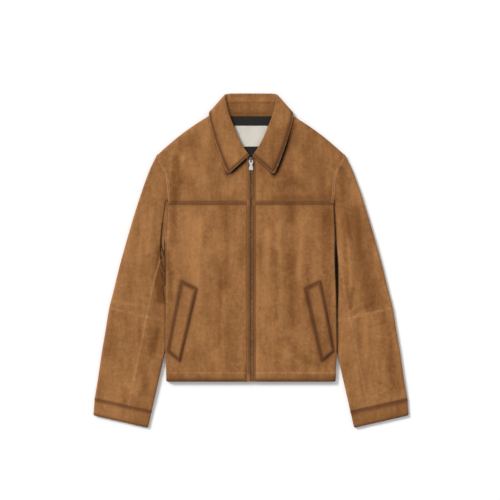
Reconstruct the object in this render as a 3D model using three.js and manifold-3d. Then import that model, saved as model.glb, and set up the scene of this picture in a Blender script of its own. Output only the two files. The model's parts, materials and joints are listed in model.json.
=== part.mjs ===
// A suede zip jacket laid flat on its back: front yokes over front panels, one back panel, two-piece
// sleeves with an elbow seam and cuffs, welt pockets, a turned-down collar on a stand, and a closed zip.
// Millimetres, +Z up. The collar points to +Y, x = 0 is the zip, and z = 0 is the surface it lies on.
import * as THREE from "three";
import Module from "manifold-3d";

const wasm = await Module();
wasm.setup();

// Driving dimensions
const WALL = 2.0; // suede shell with its hidden inner cloth
const CUFF_WALL = 2.5;
const COLLAR_WALL = 2.4;
const SEAM_GAP = 0.5; // between the edges of two sewn pieces
const LAY_GAP = 0.35; // between a piece and what it lies on

const HEM_Y = -290.9;
const YOKE_Y = 137.3;
const ZIP_TOP_Y = 250;
const HEM_SEAM_X = 150; // where the side seam, turned under, reaches the hem
const UNDERARM = { x: 139, y: 78 };
const NECK_POINT = { x: 72, y: 369 };
const BACK_NECK_Y = 358;
const COLLAR_TOP_Y = 402;

const FRONT_HIGH = 15; // top of the front panels above the surface
const SHOULDER_HIGH = 12.5;
const SLEEVE_HIGH = 12.5;
const CUFF_HIGH = 10.6;
const TUCK_HIGH = 6; // top of the part of the sleeve that lies under the body
const TUCK_CLEAR = 0.8;
const TUCK_EDGE = TUCK_HIGH / 2;

const PLACKET_IN = 1.3; // the strips beside the zip run from here
const PLACKET_OUT = 10.4; // to here
const PANEL_IN = PLACKET_OUT + SEAM_GAP;

// Plan outlines of the right half, worked out as real sizes
const plan = (rows) => rows.map(([x, y]) => ({ x, y }));
const ARMHOLE = plan([
  [227.5, 251.3], [218.4, 229.7], [209.8, 214.1], [205.0, 197.3], [202.3, 180.5], [200.4, 160.1],
  [198.7, 144.5], [198.0, 137.3], [186.0, 124.0], [172.0, 108.0], [156.0, 92.0], [139.0, 78.0],
]);
const SHOULDER = plan([
  [72.0, 369.0], [102.0, 347.0], [134.0, 327.0], [165.0, 305.0], [191.0, 284.0], [212.0, 265.5],
  [227.5, 251.3],
]);
const SLEEVE_OUTER = plan([
  [227.5, 251.3], [235.2, 235.7], [244.0, 216.5], [258.5, 178.0], [271.2, 139.7], [283.2, 101.3],
  [300.0, 43.7], [316.0, -13.9], [330.0, -71.5], [340.8, -114.0], [349.7, -167.5], [359.3, -225.1],
  [367.7, -282.7], [375.8, -331.0],
]);
const NECKLINE = plan([
  [PANEL_IN, 248.0], [26.4, 271.7], [40.8, 298.0], [52.8, 324.5], [62.4, 348.5], [72.0, 369.0],
]);
const BODY_FOLD = [ // the body's side edge: x at each y
  { y: -290.9, x: 203 }, { y: -223, x: 206 }, { y: -40, x: 204 }, { y: 60, x: 201.5 }, { y: 137.3, x: 198 },
];
const INNER_SLEEVE = { x: 248, y: -402, lean: 0.228 }; // the sleeve's straight inner edge
const ELBOW = { outer: { x: 340.8, y: -114 }, inner: { x: 190.2, y: -148.3 } };
const CUFF_SEAM = { outer: { x: 375.8, y: -331 }, inner: { x: 238.7, y: -361.4 } };
const CUFF_EDGE = { outer: { x: 379.2, y: -372.2 }, inner: { x: 248, y: -402.2 } };

// The largest folds, as soft troughs from (x0, y0) to (x1, y1)
const BODY_FOLDS = [
  { name: "left drape", x0: -84, y0: 112, x1: -92, y1: -256, half: 24, depth: 2.6 },
  { name: "left side", x0: -186, y0: 96, x1: -190, y1: -60, half: 14, depth: 1.6 },
  { name: "left inner", x0: -44, y0: 60, x1: -50, y1: -190, half: 16, depth: 1.2 },
  { name: "right drape", x0: 98, y0: 118, x1: 96, y1: -190, half: 24, depth: 3.0 },
  { name: "right inner", x0: 44, y0: 96, x1: 52, y1: -80, half: 15, depth: 1.1 },
  { name: "right side", x0: 160, y0: 40, x1: 168, y1: -40, half: 16, depth: 1.3 },
  { name: "left yoke", x0: -182, y0: 238, x1: -174, y1: 150, half: 15, depth: 2.0 },
  { name: "right yoke", x0: 182, y0: 232, x1: 178, y1: 150, half: 14, depth: 2.2 },
  { name: "left underarm", x0: -198, y0: 137, x1: -190, y1: 140, half: 20, depth: 1.2 },
  { name: "right underarm", x0: 198, y0: 137, x1: 190, y1: 140, half: 20, depth: 1.2 },
];
const SLEEVE_FOLDS = [
  { name: "right upper arm", x0: 240, y0: 190, x1: 256, y1: -118, half: 13, depth: 2.8 },
  { name: "right outer arm", x0: 292, y0: 20, x1: 312, y1: -90, half: 12, depth: 1.3 },
  { name: "right forearm", x0: 262, y0: -150, x1: 284, y1: -300, half: 13, depth: 1.4 },
  { name: "left upper arm", x0: -252, y0: 170, x1: -276, y1: 10, half: 15, depth: 1.8 },
  { name: "left elbow", x0: -236, y0: -86, x1: -218, y1: -122, half: 12, depth: 2.0 },
  { name: "left forearm", x0: -292, y0: -160, x1: -310, y1: -290, half: 13, depth: 1.5 },
  { name: "left cuff crease", x0: -228, y0: -216, x1: -246, y1: -224, half: 9, depth: 1.6 },
];

// Small maths
const lerp = (a, b, t) => a + (b - a) * t;
const mix = (p, q, t) => ({ x: lerp(p.x, q.x, t), y: lerp(p.y, q.y, t) });
const clamp01 = (t) => Math.min(1, Math.max(0, t));
const ease = (t) => clamp01(t) ** 2 * (3 - 2 * clamp01(t));
const radians = THREE.MathUtils.degToRad;

// The value at a place in a table, straight between its rows
function lookUp(rows, place, by = "y", value = "x") {
  const after = rows.findIndex((row) => row[by] >= place);
  if (after === 0) return rows[0][value];
  if (after < 0) return rows[rows.length - 1][value];
  const low = rows[after - 1];
  const high = rows[after];
  return lerp(low[value], high[value], (place - low[by]) / (high[by] - low[by]));
}

// A smooth plan curve, with the point at a given share of its length
class PlanCurve {
  constructor(points) {
    const corners = points.map((p) => new THREE.Vector3(p.x, p.y, 0));
    this.curve = new THREE.CatmullRomCurve3(corners, false, "centripetal");
    this.curve.arcLengthDivisions = 400;
    this.length = this.curve.getLength();
  }

  at(share) {
    return this.curve.getPointAt(clamp01(share));
  }
}

function fromSegment(x, y, f) {
  const dx = f.x1 - f.x0;
  const dy = f.y1 - f.y0;
  const t = clamp01(((x - f.x0) * dx + (y - f.y0) * dy) / (dx * dx + dy * dy));
  return Math.hypot(x - f.x0 - t * dx, y - f.y0 - t * dy);
}

const troughs = (folds, x, y) => folds.reduce(
  (sum, f) => sum + f.depth * Math.exp(-2 * (fromSegment(x, y, f) / f.half) ** 2), 0);

// A quarter-round edge: 0 at the edge and 1 from one radius in
const roundEdge = (inward, radius) => Math.sqrt(1 - (1 - clamp01(inward / radius)) ** 2);
const EDGE_STEPS = [0, 0.134, 0.5, 1]; // shares of the radius, 30 degrees apart

function shareAtY(curve, y) {
  let low = 0;
  let high = 1;
  for (let k = 0; k < 40; k += 1) {
    const middle = (low + high) / 2;
    if (curve.at(middle).y > y) low = middle;
    else high = middle;
  }
  return low;
}

const armhole = new PlanCurve(ARMHOLE);
const shoulder = new PlanCurve(SHOULDER);
const neckline = new PlanCurve(NECKLINE);
const bodyEdge = (y) => lookUp(BODY_FOLD, y);
const innerSleeveX = (y) => INNER_SLEEVE.x - INNER_SLEEVE.lean * (y - INNER_SLEEVE.y);
const sideSeamX = (y) => lerp(HEM_SEAM_X, UNDERARM.x, (y - HEM_Y) / (UNDERARM.y - HEM_Y));
const lowerArmhole = ARMHOLE.slice(7).reverse();

// Height of the front's outer face, without the rounding at its side edge
function frontTop(x, y) {
  const rise = ease((200 - y) / 150);
  return lerp(SHOULDER_HIGH, FRONT_HIGH, rise) - troughs(BODY_FOLDS, x, y);
}

// How far the underside of the body is lifted by the sleeve tucked below it
function tuckLift(x, y) {
  const overSleeve = ease((Math.abs(x) - innerSleeveX(y) + 45) / 30);
  const aboveHem = ease((y - HEM_Y - 8) / 70);
  return (TUCK_HIGH + TUCK_CLEAR) * overSleeve * aboveHem;
}

// A piece is a grid of points on its outer face. Its edges are the first and last row, and the start and
// end of every row. Neighbouring pieces meet along them, so each sewn edge is drawn in by half the seam gap.
const SEWN = ["first", "last", "start", "end"];
function drawIn(grid, edges) {
  const columns = grid[0].map((_, j) => grid.map((row) => row[j]));
  if (edges.includes("first")) drawEdge(grid[0], grid[1]);
  if (edges.includes("last")) drawEdge(grid[grid.length - 1], grid[grid.length - 2]);
  if (edges.includes("start")) drawEdge(columns[0], columns[1]);
  if (edges.includes("end")) drawEdge(columns[columns.length - 1], columns[columns.length - 2]);
  return grid;
}

// Each point of an edge moves square to the edge, towards the next row of points
function drawEdge(edge, next) {
  const moves = edge.map((p, i) => {
    const along = edge[Math.min(i + 1, edge.length - 1)].clone().sub(edge[Math.max(i - 1, 0)]).normalize();
    const inward = next[i].clone().sub(p);
    return inward.addScaledVector(along, -inward.dot(along)).setLength(SEAM_GAP / 2);
  });
  edge.forEach((p, i) => p.add(moves[i]));
}

// The way out of a wall at a sewn edge, so that the end faces of two neighbours match
const plumb = (out) => new THREE.Vector3(0, 0, Math.sign(out.z));
const level = (out) => new THREE.Vector3(out.x, out.y, 0).normalize();
const square = (chord) => (out) => chord.clone().multiplyScalar(out.dot(chord)).setZ(out.z).normalize();
const squareX = square(new THREE.Vector3(1, 0, 0));
const chordOf = (side, from, to) => new THREE.Vector3(side * (from.x - to.x), from.y - to.y, 0).normalize();

// The inner face of a piece, one wall in from its outer face
function inwardGrid(grid, wall, sign, around, ends) {
  const rows = grid.length;
  const cols = grid[0].length;
  return grid.map((row, i) => row.map((p, j) => {
    const along = grid[Math.min(i + 1, rows - 1)][j].clone().sub(grid[Math.max(i - 1, 0)][j]);
    const next = around ? (j + 1) % cols : Math.min(j + 1, cols - 1);
    const last = around ? (j + cols - 1) % cols : Math.max(j - 1, 0);
    const across = row[next].clone().sub(row[last]);
    let out = along.cross(across).normalize().multiplyScalar(sign);
    if (i === 0 && ends.first) out = ends.first(out, j);
    if (i === rows - 1 && ends.last) out = ends.last(out, j);
    if (j === 0 && ends.start) out = ends.start(out, i);
    if (j === cols - 1 && ends.end) out = ends.end(out, i);
    return p.clone().addScaledVector(out, -wall);
  }));
}

function closedBody(positions, index) {
  let volume = 0;
  const corner = (k) => new THREE.Vector3(...positions.slice(3 * k, 3 * k + 3));
  for (let t = 0; t < index.length; t += 3) {
    volume += corner(index[t]).dot(corner(index[t + 1]).cross(corner(index[t + 2])));
  }
  if (volume < 0) {
    for (let t = 0; t < index.length; t += 3) [index[t], index[t + 1]] = [index[t + 1], index[t]];
  }
  const geometry = new THREE.BufferGeometry();
  geometry.setAttribute("position", new THREE.Float32BufferAttribute(positions, 3));
  geometry.setIndex(index);
  return geometry;
}

// A closed wall from the grid of its outer face, or a closed tube of wall where the rows go around
function sheet(outer, { wall = WALL, sign = 1, around = false, edges = SEWN, ends = {} } = {}) {
  const grid = drawIn(outer, edges);
  const inner = inwardGrid(grid, wall, sign, around, ends);
  const rows = grid.length;
  const cols = grid[0].length;
  const positions = [grid, inner].flatMap((g) => g.flatMap((row) => row.flatMap((p) => [p.x, p.y, p.z])));
  const at = (face, i, j) => face * rows * cols + i * cols + (j % cols);
  const index = [];
  const quad = (a, b, c, d) => index.push(a, b, c, a, c, d);
  const span = around ? cols : cols - 1;
  for (let i = 0; i < rows - 1; i += 1) {
    for (let j = 0; j < span; j += 1) {
      quad(at(0, i, j), at(0, i + 1, j), at(0, i + 1, j + 1), at(0, i, j + 1));
      quad(at(1, i, j), at(1, i, j + 1), at(1, i + 1, j + 1), at(1, i + 1, j));
    }
  }
  for (let j = 0; j < span; j += 1) {
    quad(at(0, 0, j), at(0, 0, j + 1), at(1, 0, j + 1), at(1, 0, j));
    quad(at(0, rows - 1, j), at(1, rows - 1, j), at(1, rows - 1, j + 1), at(0, rows - 1, j + 1));
  }
  if (!around) {
    for (let i = 0; i < rows - 1; i += 1) {
      quad(at(0, i, 0), at(1, i, 0), at(1, i + 1, 0), at(0, i + 1, 0));
      quad(at(0, i, cols - 1), at(0, i + 1, cols - 1), at(1, i + 1, cols - 1), at(1, i, cols - 1));
    }
  }
  return closedBody(positions, index);
}

// A solid lofted through closed sections with the same number of corners, capped at both ends
function loft(sections) {
  const count = sections[0].length;
  const positions = sections.flatMap((s) => s.flatMap((p) => [p.x, p.y, p.z]));
  const index = [];
  for (let i = 0; i < sections.length - 1; i += 1) {
    for (let j = 0; j < count; j += 1) {
      const a = i * count + j;
      const b = i * count + ((j + 1) % count);
      index.push(a, b, b + count, a, b + count, a + count);
    }
  }
  const flat = sections[0].map((p) => new THREE.Vector2(p.x, p.z));
  const end = (sections.length - 1) * count;
  THREE.ShapeUtils.triangulateShape(flat, []).forEach(([a, b, c]) => {
    index.push(a, c, b, end + a, end + b, end + c);
  });
  return closedBody(positions, orient(index, flat));
}

// The caps follow the section's own turning, so they close with the sides
function orient(index, flat) {
  if (THREE.ShapeUtils.area(flat) > 0) return index;
  const caps = 6 * (flat.length - 2);
  const first = index.length - caps;
  for (let t = first; t < index.length; t += 3) [index[t + 1], index[t + 2]] = [index[t + 2], index[t + 1]];
  return index;
}

function toManifold(geometry) {
  return new wasm.Manifold(new wasm.Mesh({
    numProp: 3,
    vertProperties: new Float32Array(geometry.attributes.position.array),
    triVerts: new Uint32Array(geometry.index.array),
  }));
}

function fromManifold(body) {
  const mesh = body.getMesh();
  const geometry = new THREE.BufferGeometry();
  geometry.setAttribute("position", new THREE.Float32BufferAttribute(mesh.vertProperties, 3));
  geometry.setIndex([...mesh.triVerts]);
  return geometry;
}

// Materials
const suede = new THREE.MeshStandardMaterial({ color: 0xa06e43, roughness: 0.95, metalness: 0 });
const burnished = new THREE.MeshStandardMaterial({ color: 0x70472a, roughness: 0.85, metalness: 0 });
const lining = new THREE.MeshStandardMaterial({ color: 0x2c2926, roughness: 0.7, metalness: 0 });
const labelCloth = new THREE.MeshStandardMaterial({ color: 0xe4e1d6, roughness: 0.8, metalness: 0 });
const tapeCloth = new THREE.MeshStandardMaterial({ color: 0x5b4029, roughness: 0.9, metalness: 0 });
const nickel = new THREE.MeshStandardMaterial({ color: 0xc6c8c5, roughness: 0.3, metalness: 1 });

const jacket = new THREE.Group();
function add(name, geometry, material) {
  const mesh = new THREE.Mesh(geometry, material);
  mesh.name = name;
  jacket.add(mesh);
  return mesh;
}

const evenly = (n, from, to) => Array.from({ length: n + 1 }, (_, i) => lerp(from, to, i / n));

// Places along the armhole, as shares of its length. Yoke, back and sleeve share them, so their edges match.
const SHOULDER_EDGE = SHOULDER_HIGH / 2;
const armholeBend = shareAtY(armhole, YOKE_Y); // where the body's side fold starts to cover the armhole
const ARM_TOP = [
  ...EDGE_STEPS.map((s) => (s * SHOULDER_EDGE) / armhole.length),
  ...evenly(7, SHOULDER_EDGE / armhole.length, armholeBend).slice(1),
];
const ARM_LOW = [
  ...evenly(4, armholeBend, 1 - TUCK_EDGE / armhole.length).slice(1),
  ...EDGE_STEPS.slice(0, 3).reverse().map((s) => 1 - (s * TUCK_EDGE) / armhole.length),
];
const ARM_SHARES = [...ARM_TOP, ...ARM_LOW];
const FRONT_SEAM_COLUMN = ARM_TOP.length; // the sleeve's front seam leaves the armhole just below the bend
const HIND_SEAM_COLUMN = 5;

// The way out at the armhole: round the fold at the shoulder tip, then straight up or down
const TIP_OUT = { x: 0.8, y: 0.6 };
function armholeOut(side, share, face) {
  const flat = 1 - clamp01((share * armhole.length) / SHOULDER_EDGE);
  return new THREE.Vector3(side * TIP_OUT.x * flat, TIP_OUT.y * flat, face * Math.sqrt(1 - flat * flat));
}

// Front panel: across the top, round the side fold and under to the side seam
const SIDE_FOLD = { turns: [65, 32, 0, -32, -65], heightFrom: 6, under: 7 }; // degrees, mm in, least mm under
function frontPanel(side) {
  const rows = [...evenly(5, YOKE_Y, UNDERARM.y), ...evenly(13, UNDERARM.y, HEM_Y).slice(1)];
  return sheet(rows.map((y) => {
    const edge = bodyEdge(y);
    const low = tuckLift(edge, y);
    const high = frontTop(side * (edge - SIDE_FOLD.heightFrom), y);
    const radius = (high - low) / 2;
    const seam = y > UNDERARM.y ? lookUp(lowerArmhole, y) : sideSeamX(y);
    const inner = Math.min(seam, edge - radius - SIDE_FOLD.under);
    const top = evenly(11, PANEL_IN, edge - radius).map((x) => [x, frontTop(side * x, y)]);
    const fold = SIDE_FOLD.turns.map((deg) => [
      edge - radius + radius * Math.cos(radians(deg)),
      (high + low) / 2 + radius * Math.sin(radians(deg)),
    ]);
    const under = evenly(3, edge - radius, inner).map((x) => [x, tuckLift(x, y)]);
    return [...top, ...fold, ...under].map(([x, z]) => new THREE.Vector3(side * x, y, z));
  }), { sign: side, ends: { first: squareX, last: squareX, start: plumb, end: plumb } });
}

// The plan point of a patch between its first and last row, and the start and end of its rows
function patch(region, s, t) {
  const value = (k) => {
    const between = lerp(region.first(s)[k], region.last(s)[k], t);
    const across = lerp(region.start(t)[k], region.end(t)[k], s);
    const firstCorners = lerp(region.first(0)[k], region.first(1)[k], s);
    const lastCorners = lerp(region.last(0)[k], region.last(1)[k], s);
    return between + across - lerp(firstCorners, lastCorners, t);
  };
  return { x: value("x"), y: value("y") };
}

// Yoke: a patch between the yoke seam, the armhole, the shoulder fold, the neckline and the zip
const YOKE_STRIP = ZIP_TOP_Y - 2 - YOKE_Y; // its edge beside the zip
const YOKE = {
  first: (s) => ({ x: lerp(PANEL_IN, bodyEdge(YOKE_Y), s), y: YOKE_Y }),
  last: (s) => shoulder.at(s),
  start: (t) => {
    const run = t * (YOKE_STRIP + neckline.length);
    if (run < YOKE_STRIP) return { x: PANEL_IN, y: YOKE_Y + run };
    return neckline.at((run - YOKE_STRIP) / neckline.length);
  },
  end: (t) => armhole.at((1 - t) * armholeBend),
};

function frontYoke(side) {
  const down = [...ARM_TOP].reverse();
  const across = evenly(9, 0, 1);
  return sheet(down.map((armShare) => across.map((s) => {
    const { x, y } = patch(YOKE, s, clamp01(1 - armShare / armholeBend));
    const rounding = roundEdge(armShare * armhole.length, SHOULDER_EDGE);
    const low = collarLift(x, y) / 2 + SHOULDER_EDGE;
    return new THREE.Vector3(side * x, y, lerp(low, frontTop(side * x, y), rounding));
  })), {
    sign: -side,
    ends: { first: squareX, last: level, start: plumb, end: (out, i) => armholeOut(side, down[i], 1) },
  });
}

// The back rises a little where the turned-over collar lies below it
function collarLift(x, y) {
  return (COLLAR_WALL + LAY_GAP) * ease((y - 150) / 115) * ease((150 - Math.abs(x)) / 42);
}

const NECK_CURVE = 2.4; // how late the back neckline climbs to the neck points
function backTopY(x) {
  const fromMiddle = Math.abs(x);
  if (fromMiddle > NECK_POINT.x) return lookUp(SHOULDER, fromMiddle, "x", "y");
  return lerp(BACK_NECK_Y, NECK_POINT.y, (fromMiddle / NECK_POINT.x) ** NECK_CURVE);
}

// Height of the back's outer face: it lies on the surface, the tucked sleeves and the collar
function backLow(x, y) {
  const nearUnderarm = ease((UNDERARM.y + 12 - y) / 30);
  return tuckLift(x, y) * nearUnderarm + collarLift(x, y);
}

function backEdgeOut(row, side) {
  return row.arm === undefined ? new THREE.Vector3(0, 0, -1) : armholeOut(side, row.arm, -1);
}

// Back panel: rows from side seam to side seam, then from armhole to armhole, the last along the shoulders
function backPanel() {
  const tip = ARMHOLE[0];
  const seamLength = UNDERARM.y - HEM_Y;
  const total = seamLength + armhole.length;
  const atSeam = evenly(12, 0, 1).map((s) => {
    const y = lerp(HEM_Y, UNDERARM.y, s);
    return { x: sideSeamX(y), y, t: (s * seamLength) / total };
  });
  const atArmhole = [...ARM_SHARES].reverse().slice(1).map((arm) => {
    const { x, y } = armhole.at(arm);
    return { x, y, arm, t: (seamLength + (1 - arm) * armhole.length) / total };
  });
  const rows = [...atSeam, ...atArmhole];
  const neckShare = NECK_POINT.x / tip.x;
  const half = [0, neckShare / 2, neckShare, 0.45, 0.6, 0.75, 0.9, 1];
  const across = [...half.slice(1).reverse().map((u) => -u), ...half];
  return sheet(rows.map((row) => across.map((u) => {
    const x = u * row.x;
    const y = row.y + row.t ** 3 * (backTopY(u * tip.x) - tip.y);
    const fromShoulder = row.arm === undefined ? Infinity : row.arm * armhole.length;
    const curl = 1 - roundEdge(fromShoulder, SHOULDER_EDGE);
    const beside = ease((Math.abs(u) - neckShare) / 0.08);
    const low = backLow(x, y);
    return new THREE.Vector3(x, y, low + curl * beside * (SHOULDER_EDGE - low / 2));
  })), {
    ends: {
      first: squareX,
      last: (out, j) => (Math.abs(across[j]) > neckShare ? level(out) : plumb(out)),
      start: (out, i) => backEdgeOut(rows[i], -1),
      end: (out, i) => backEdgeOut(rows[i], 1),
    },
  });
}

// Sleeves: a patch in plan between the armhole or elbow above, and the elbow or cuff seam below
const sleeveOuter = new PlanCurve(SLEEVE_OUTER);
const elbowShare = shareAtY(sleeveOuter, ELBOW.outer.y);
const UPPER_RUN = 330; // from the armhole to the elbow

const UPPER_ARM = {
  first: (s) => armhole.at(s),
  last: (s) => mix(ELBOW.outer, ELBOW.inner, s),
  start: (t) => sleeveOuter.at(t * elbowShare),
  end: (t) => mix(UNDERARM, ELBOW.inner, t),
  fromArmhole: (t) => t * UPPER_RUN,
  stations: [0, 0.03, 0.07, 0.12, 0.18, 0.26, 0.36, 0.48, 0.6, 0.73, 0.87, 1],
};
const FOREARM = {
  first: (s) => mix(ELBOW.outer, ELBOW.inner, s),
  last: (s) => mix(CUFF_SEAM.outer, CUFF_SEAM.inner, s),
  start: (t) => sleeveOuter.at(lerp(elbowShare, 1, t)),
  end: (t) => mix(ELBOW.inner, CUFF_SEAM.inner, t),
  fromArmhole: () => UPPER_RUN,
  stations: evenly(7, 0, 1),
};
const startsAtArmhole = (region, t) => region === UPPER_ARM && t === 0;

// How far a point lies outside the part of the sleeve that the body covers
function clearOfBody(x, y) {
  if (y <= YOKE_Y) return Math.max(0, x - bodyEdge(y));
  return Math.hypot(Math.max(0, x - bodyEdge(YOKE_Y)), y - YOKE_Y);
}

const TUCK_MARGIN = 3.5;
const TUCK_REACH = { armhole: 8, arm: 44, over: 90 }; // how far the sleeve takes to rise beside the body
const TUCK_BOTTOM = { y: -250, over: 60 }; // below this the sleeve has swung clear of the body
const ARMHOLE_BLEND = 60;
const CUFF_BLEND = 30;
const CUFF_LINE = {
  x0: CUFF_SEAM.outer.x, y0: CUFF_SEAM.outer.y, x1: CUFF_SEAM.inner.x, y1: CUFF_SEAM.inner.y,
};
function sleeveTop(side, { x, y }, fromArmhole) {
  const own = SLEEVE_HIGH - troughs(SLEEVE_FOLDS, side * x, y);
  const open = lerp(frontTop(side * x, y), own, ease(fromArmhole / ARMHOLE_BLEND));
  const reach = lerp(TUCK_REACH.armhole, TUCK_REACH.arm, ease(fromArmhole / TUCK_REACH.over));
  const beside = ease((y - TUCK_BOTTOM.y) / TUCK_BOTTOM.over);
  const tucked = 1 - ease((clearOfBody(x, y) - TUCK_MARGIN) / reach);
  const toCuff = 1 - ease(fromSegment(x, y, CUFF_LINE) / CUFF_BLEND);
  return lerp(open - (open - TUCK_HIGH) * tucked * beside, CUFF_HIGH, toCuff);
}

// The front seam's place across the sleeve, as a share of its width. Each sleeve has turned a little
// differently, so the two seams lie apart.
const FRONT_SEAM = { left: 0.6, right: 0.7 };
function frontSeamShare(region, t, side) {
  const own = side < 0 ? FRONT_SEAM.left : FRONT_SEAM.right;
  return region === UPPER_ARM ? lerp(ARM_SHARES[FRONT_SEAM_COLUMN], own, ease(t)) : own;
}

// Column places across a sleeve station, in shares of its width
function stationShares(region, t, width, side) {
  if (startsAtArmhole(region, t)) return ARM_SHARES;
  const outer = EDGE_STEPS.map((s) => (s * SHOULDER_EDGE) / width);
  const inner = EDGE_STEPS.slice(0, 3).reverse().map((s) => 1 - (s * TUCK_EDGE) / width);
  const seam = frontSeamShare(region, t, side);
  const toSeam = FRONT_SEAM_COLUMN + 1 - outer.length;
  const pastSeam = ARM_SHARES.length - FRONT_SEAM_COLUMN - 1 - inner.length;
  return [
    ...outer,
    ...evenly(toSeam, SHOULDER_EDGE / width, seam).slice(1),
    ...evenly(pastSeam, seam, 1 - TUCK_EDGE / width).slice(1),
    ...inner,
  ];
}

// Upper and lower outer face of the flat sleeve, from its outer fold to its inner fold
function sleeveRow(region, t, side) {
  const outer = region.start(t);
  const inner = region.end(t);
  const width = Math.hypot(outer.x - inner.x, outer.y - inner.y);
  const run = startsAtArmhole(region, t) ? armhole.length : width;
  const topAt = (p) => sleeveTop(side, p, region.fromArmhole(t));
  return stationShares(region, t, width, side).map((s) => {
    const p = patch(region, s, t);
    const middle = topAt(s < 0.5 ? outer : inner) / 2;
    const outerRound = roundEdge(s * run, SHOULDER_EDGE);
    const innerRound = roundEdge((1 - s) * run, topAt(inner) / 2);
    const round = Math.min(outerRound, innerRound);
    return {
      upper: new THREE.Vector3(side * p.x, p.y, lerp(middle, topAt(p), round)),
      lower: new THREE.Vector3(side * p.x, p.y, lerp(middle, 0, round)),
    };
  });
}

// The columns of the outer panel, from the front seam over the outer fold to the hind seam
const overOuterFold = (row) => [
  ...row.slice(1, FRONT_SEAM_COLUMN + 1).reverse().map((p) => p.upper),
  ...row.slice(0, HIND_SEAM_COLUMN + 1).map((p) => p.lower),
];

// The columns of the inner panel, from the front seam over the inner fold to the hind seam
const overInnerFold = (row) => [
  ...row.slice(FRONT_SEAM_COLUMN).map((p) => p.upper),
  ...row.slice(HIND_SEAM_COLUMN, -1).reverse().map((p) => p.lower),
];

// At the armhole the wall matches the body's, but near the underarm it turns round the inner fold
function armholeEnds(side, columns) {
  const row = columns(ARM_SHARES.map((share) => ({ upper: { share, face: 1 }, lower: { share, face: -1 } })));
  return (out, j) => {
    const { share, face } = row[j];
    return (1 - share) * armhole.length < TUCK_EDGE ? out : armholeOut(side, share, face);
  };
}

function sleevePanel(region, side, columns) {
  const grid = region.stations.map((t) => columns(sleeveRow(region, t, side)));
  const along = (t) => square(chordOf(side, region.start(t), region.end(t)));
  const first = region === UPPER_ARM ? armholeEnds(side, columns) : along(0);
  const sign = columns === overOuterFold ? side : -side;
  return sheet(grid, { sign, ends: { first, last: along(1), start: plumb, end: plumb } });
}

function cuff(side) {
  const edge = CUFF_HIGH / 2;
  const ends = square(chordOf(side, CUFF_SEAM.outer, CUFF_SEAM.inner));
  return sheet(evenly(3, 0, 1).map((t) => {
    const outer = mix(CUFF_SEAM.outer, CUFF_EDGE.outer, t);
    const inner = mix(CUFF_SEAM.inner, CUFF_EDGE.inner, t);
    const width = Math.hypot(outer.x - inner.x, outer.y - inner.y);
    const shares = [
      ...EDGE_STEPS.map((s) => (s * edge) / width),
      ...evenly(6, edge / width, 1 - edge / width).slice(1, -1),
      ...EDGE_STEPS.map((s) => 1 - (s * edge) / width).reverse(),
    ];
    const at = (s, face) => {
      const p = mix(outer, inner, s);
      const round = Math.min(roundEdge(s * width, edge), roundEdge((1 - s) * width, edge));
      return new THREE.Vector3(side * p.x, p.y, edge + face * edge * round);
    };
    return [...shares.map((s) => at(s, 1)), ...shares.slice(1, -1).reverse().map((s) => at(s, -1))];
  }), { wall: CUFF_WALL, sign: -side, around: true, edges: ["first"], ends: { first: ends, last: ends } });
}

// Pocket welt: laid on the front panel, made from its points
const WELT = [ // outer top, inner top, inner bottom, outer bottom
  { x: 166, y: -50.5 }, { x: 130.5, y: -68.5 }, { x: 170.5, y: -240.5 }, { x: 198, y: -217.5 },
];
const WELT_WALL = 2.2;
const WELT_GAP = 0.75;
function welt(side) {
  const [outerTop, innerTop, innerBottom, outerBottom] = WELT;
  return sheet(evenly(8, 0, 1).map((t) => evenly(3, 0, 1).map((s) => {
    const p = mix(mix(outerTop, outerBottom, t), mix(innerTop, innerBottom, t), s);
    return new THREE.Vector3(side * p.x, p.y, frontTop(side * p.x, p.y) + WELT_GAP + WELT_WALL);
  })), { wall: WELT_WALL, sign: -side, edges: [] });
}

// Placket strip beside the zip
const PLACKET = { wall: 2.4, above: 0.4, aboveHem: 0.2 };
function placket(side) {
  const rows = evenly(14, HEM_Y + PLACKET.aboveHem, ZIP_TOP_Y);
  return sheet(rows.map((y) => evenly(2, PLACKET_IN, PLACKET_OUT).map(
    (x) => new THREE.Vector3(side * x, y, frontTop(0, y) + PLACKET.above))),
  { wall: PLACKET.wall, sign: -side, edges: [] });
}

// Half of the zip: tape below the placket and one side of the closed coil
const TAPE_HALF = 15;
const TAPE_WALL = 0.8;
const COIL_HALF = 0.95;
const COIL_HIGH = 1.9;
const HALF_SEAM = SEAM_GAP / 2;
function zipHalf(side) {
  return loft(evenly(12, HEM_Y + 3, ZIP_TOP_Y).map((y) => {
    const tapeTop = frontTop(0, y) - WALL - LAY_GAP;
    return [
      [HALF_SEAM, tapeTop - TAPE_WALL], [TAPE_HALF, tapeTop - TAPE_WALL], [TAPE_HALF, tapeTop],
      [COIL_HALF, tapeTop], [COIL_HALF, tapeTop + COIL_HIGH], [HALF_SEAM, tapeTop + COIL_HIGH],
    ].map(([x, z]) => new THREE.Vector3(side * x, y, z));
  }));
}

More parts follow.
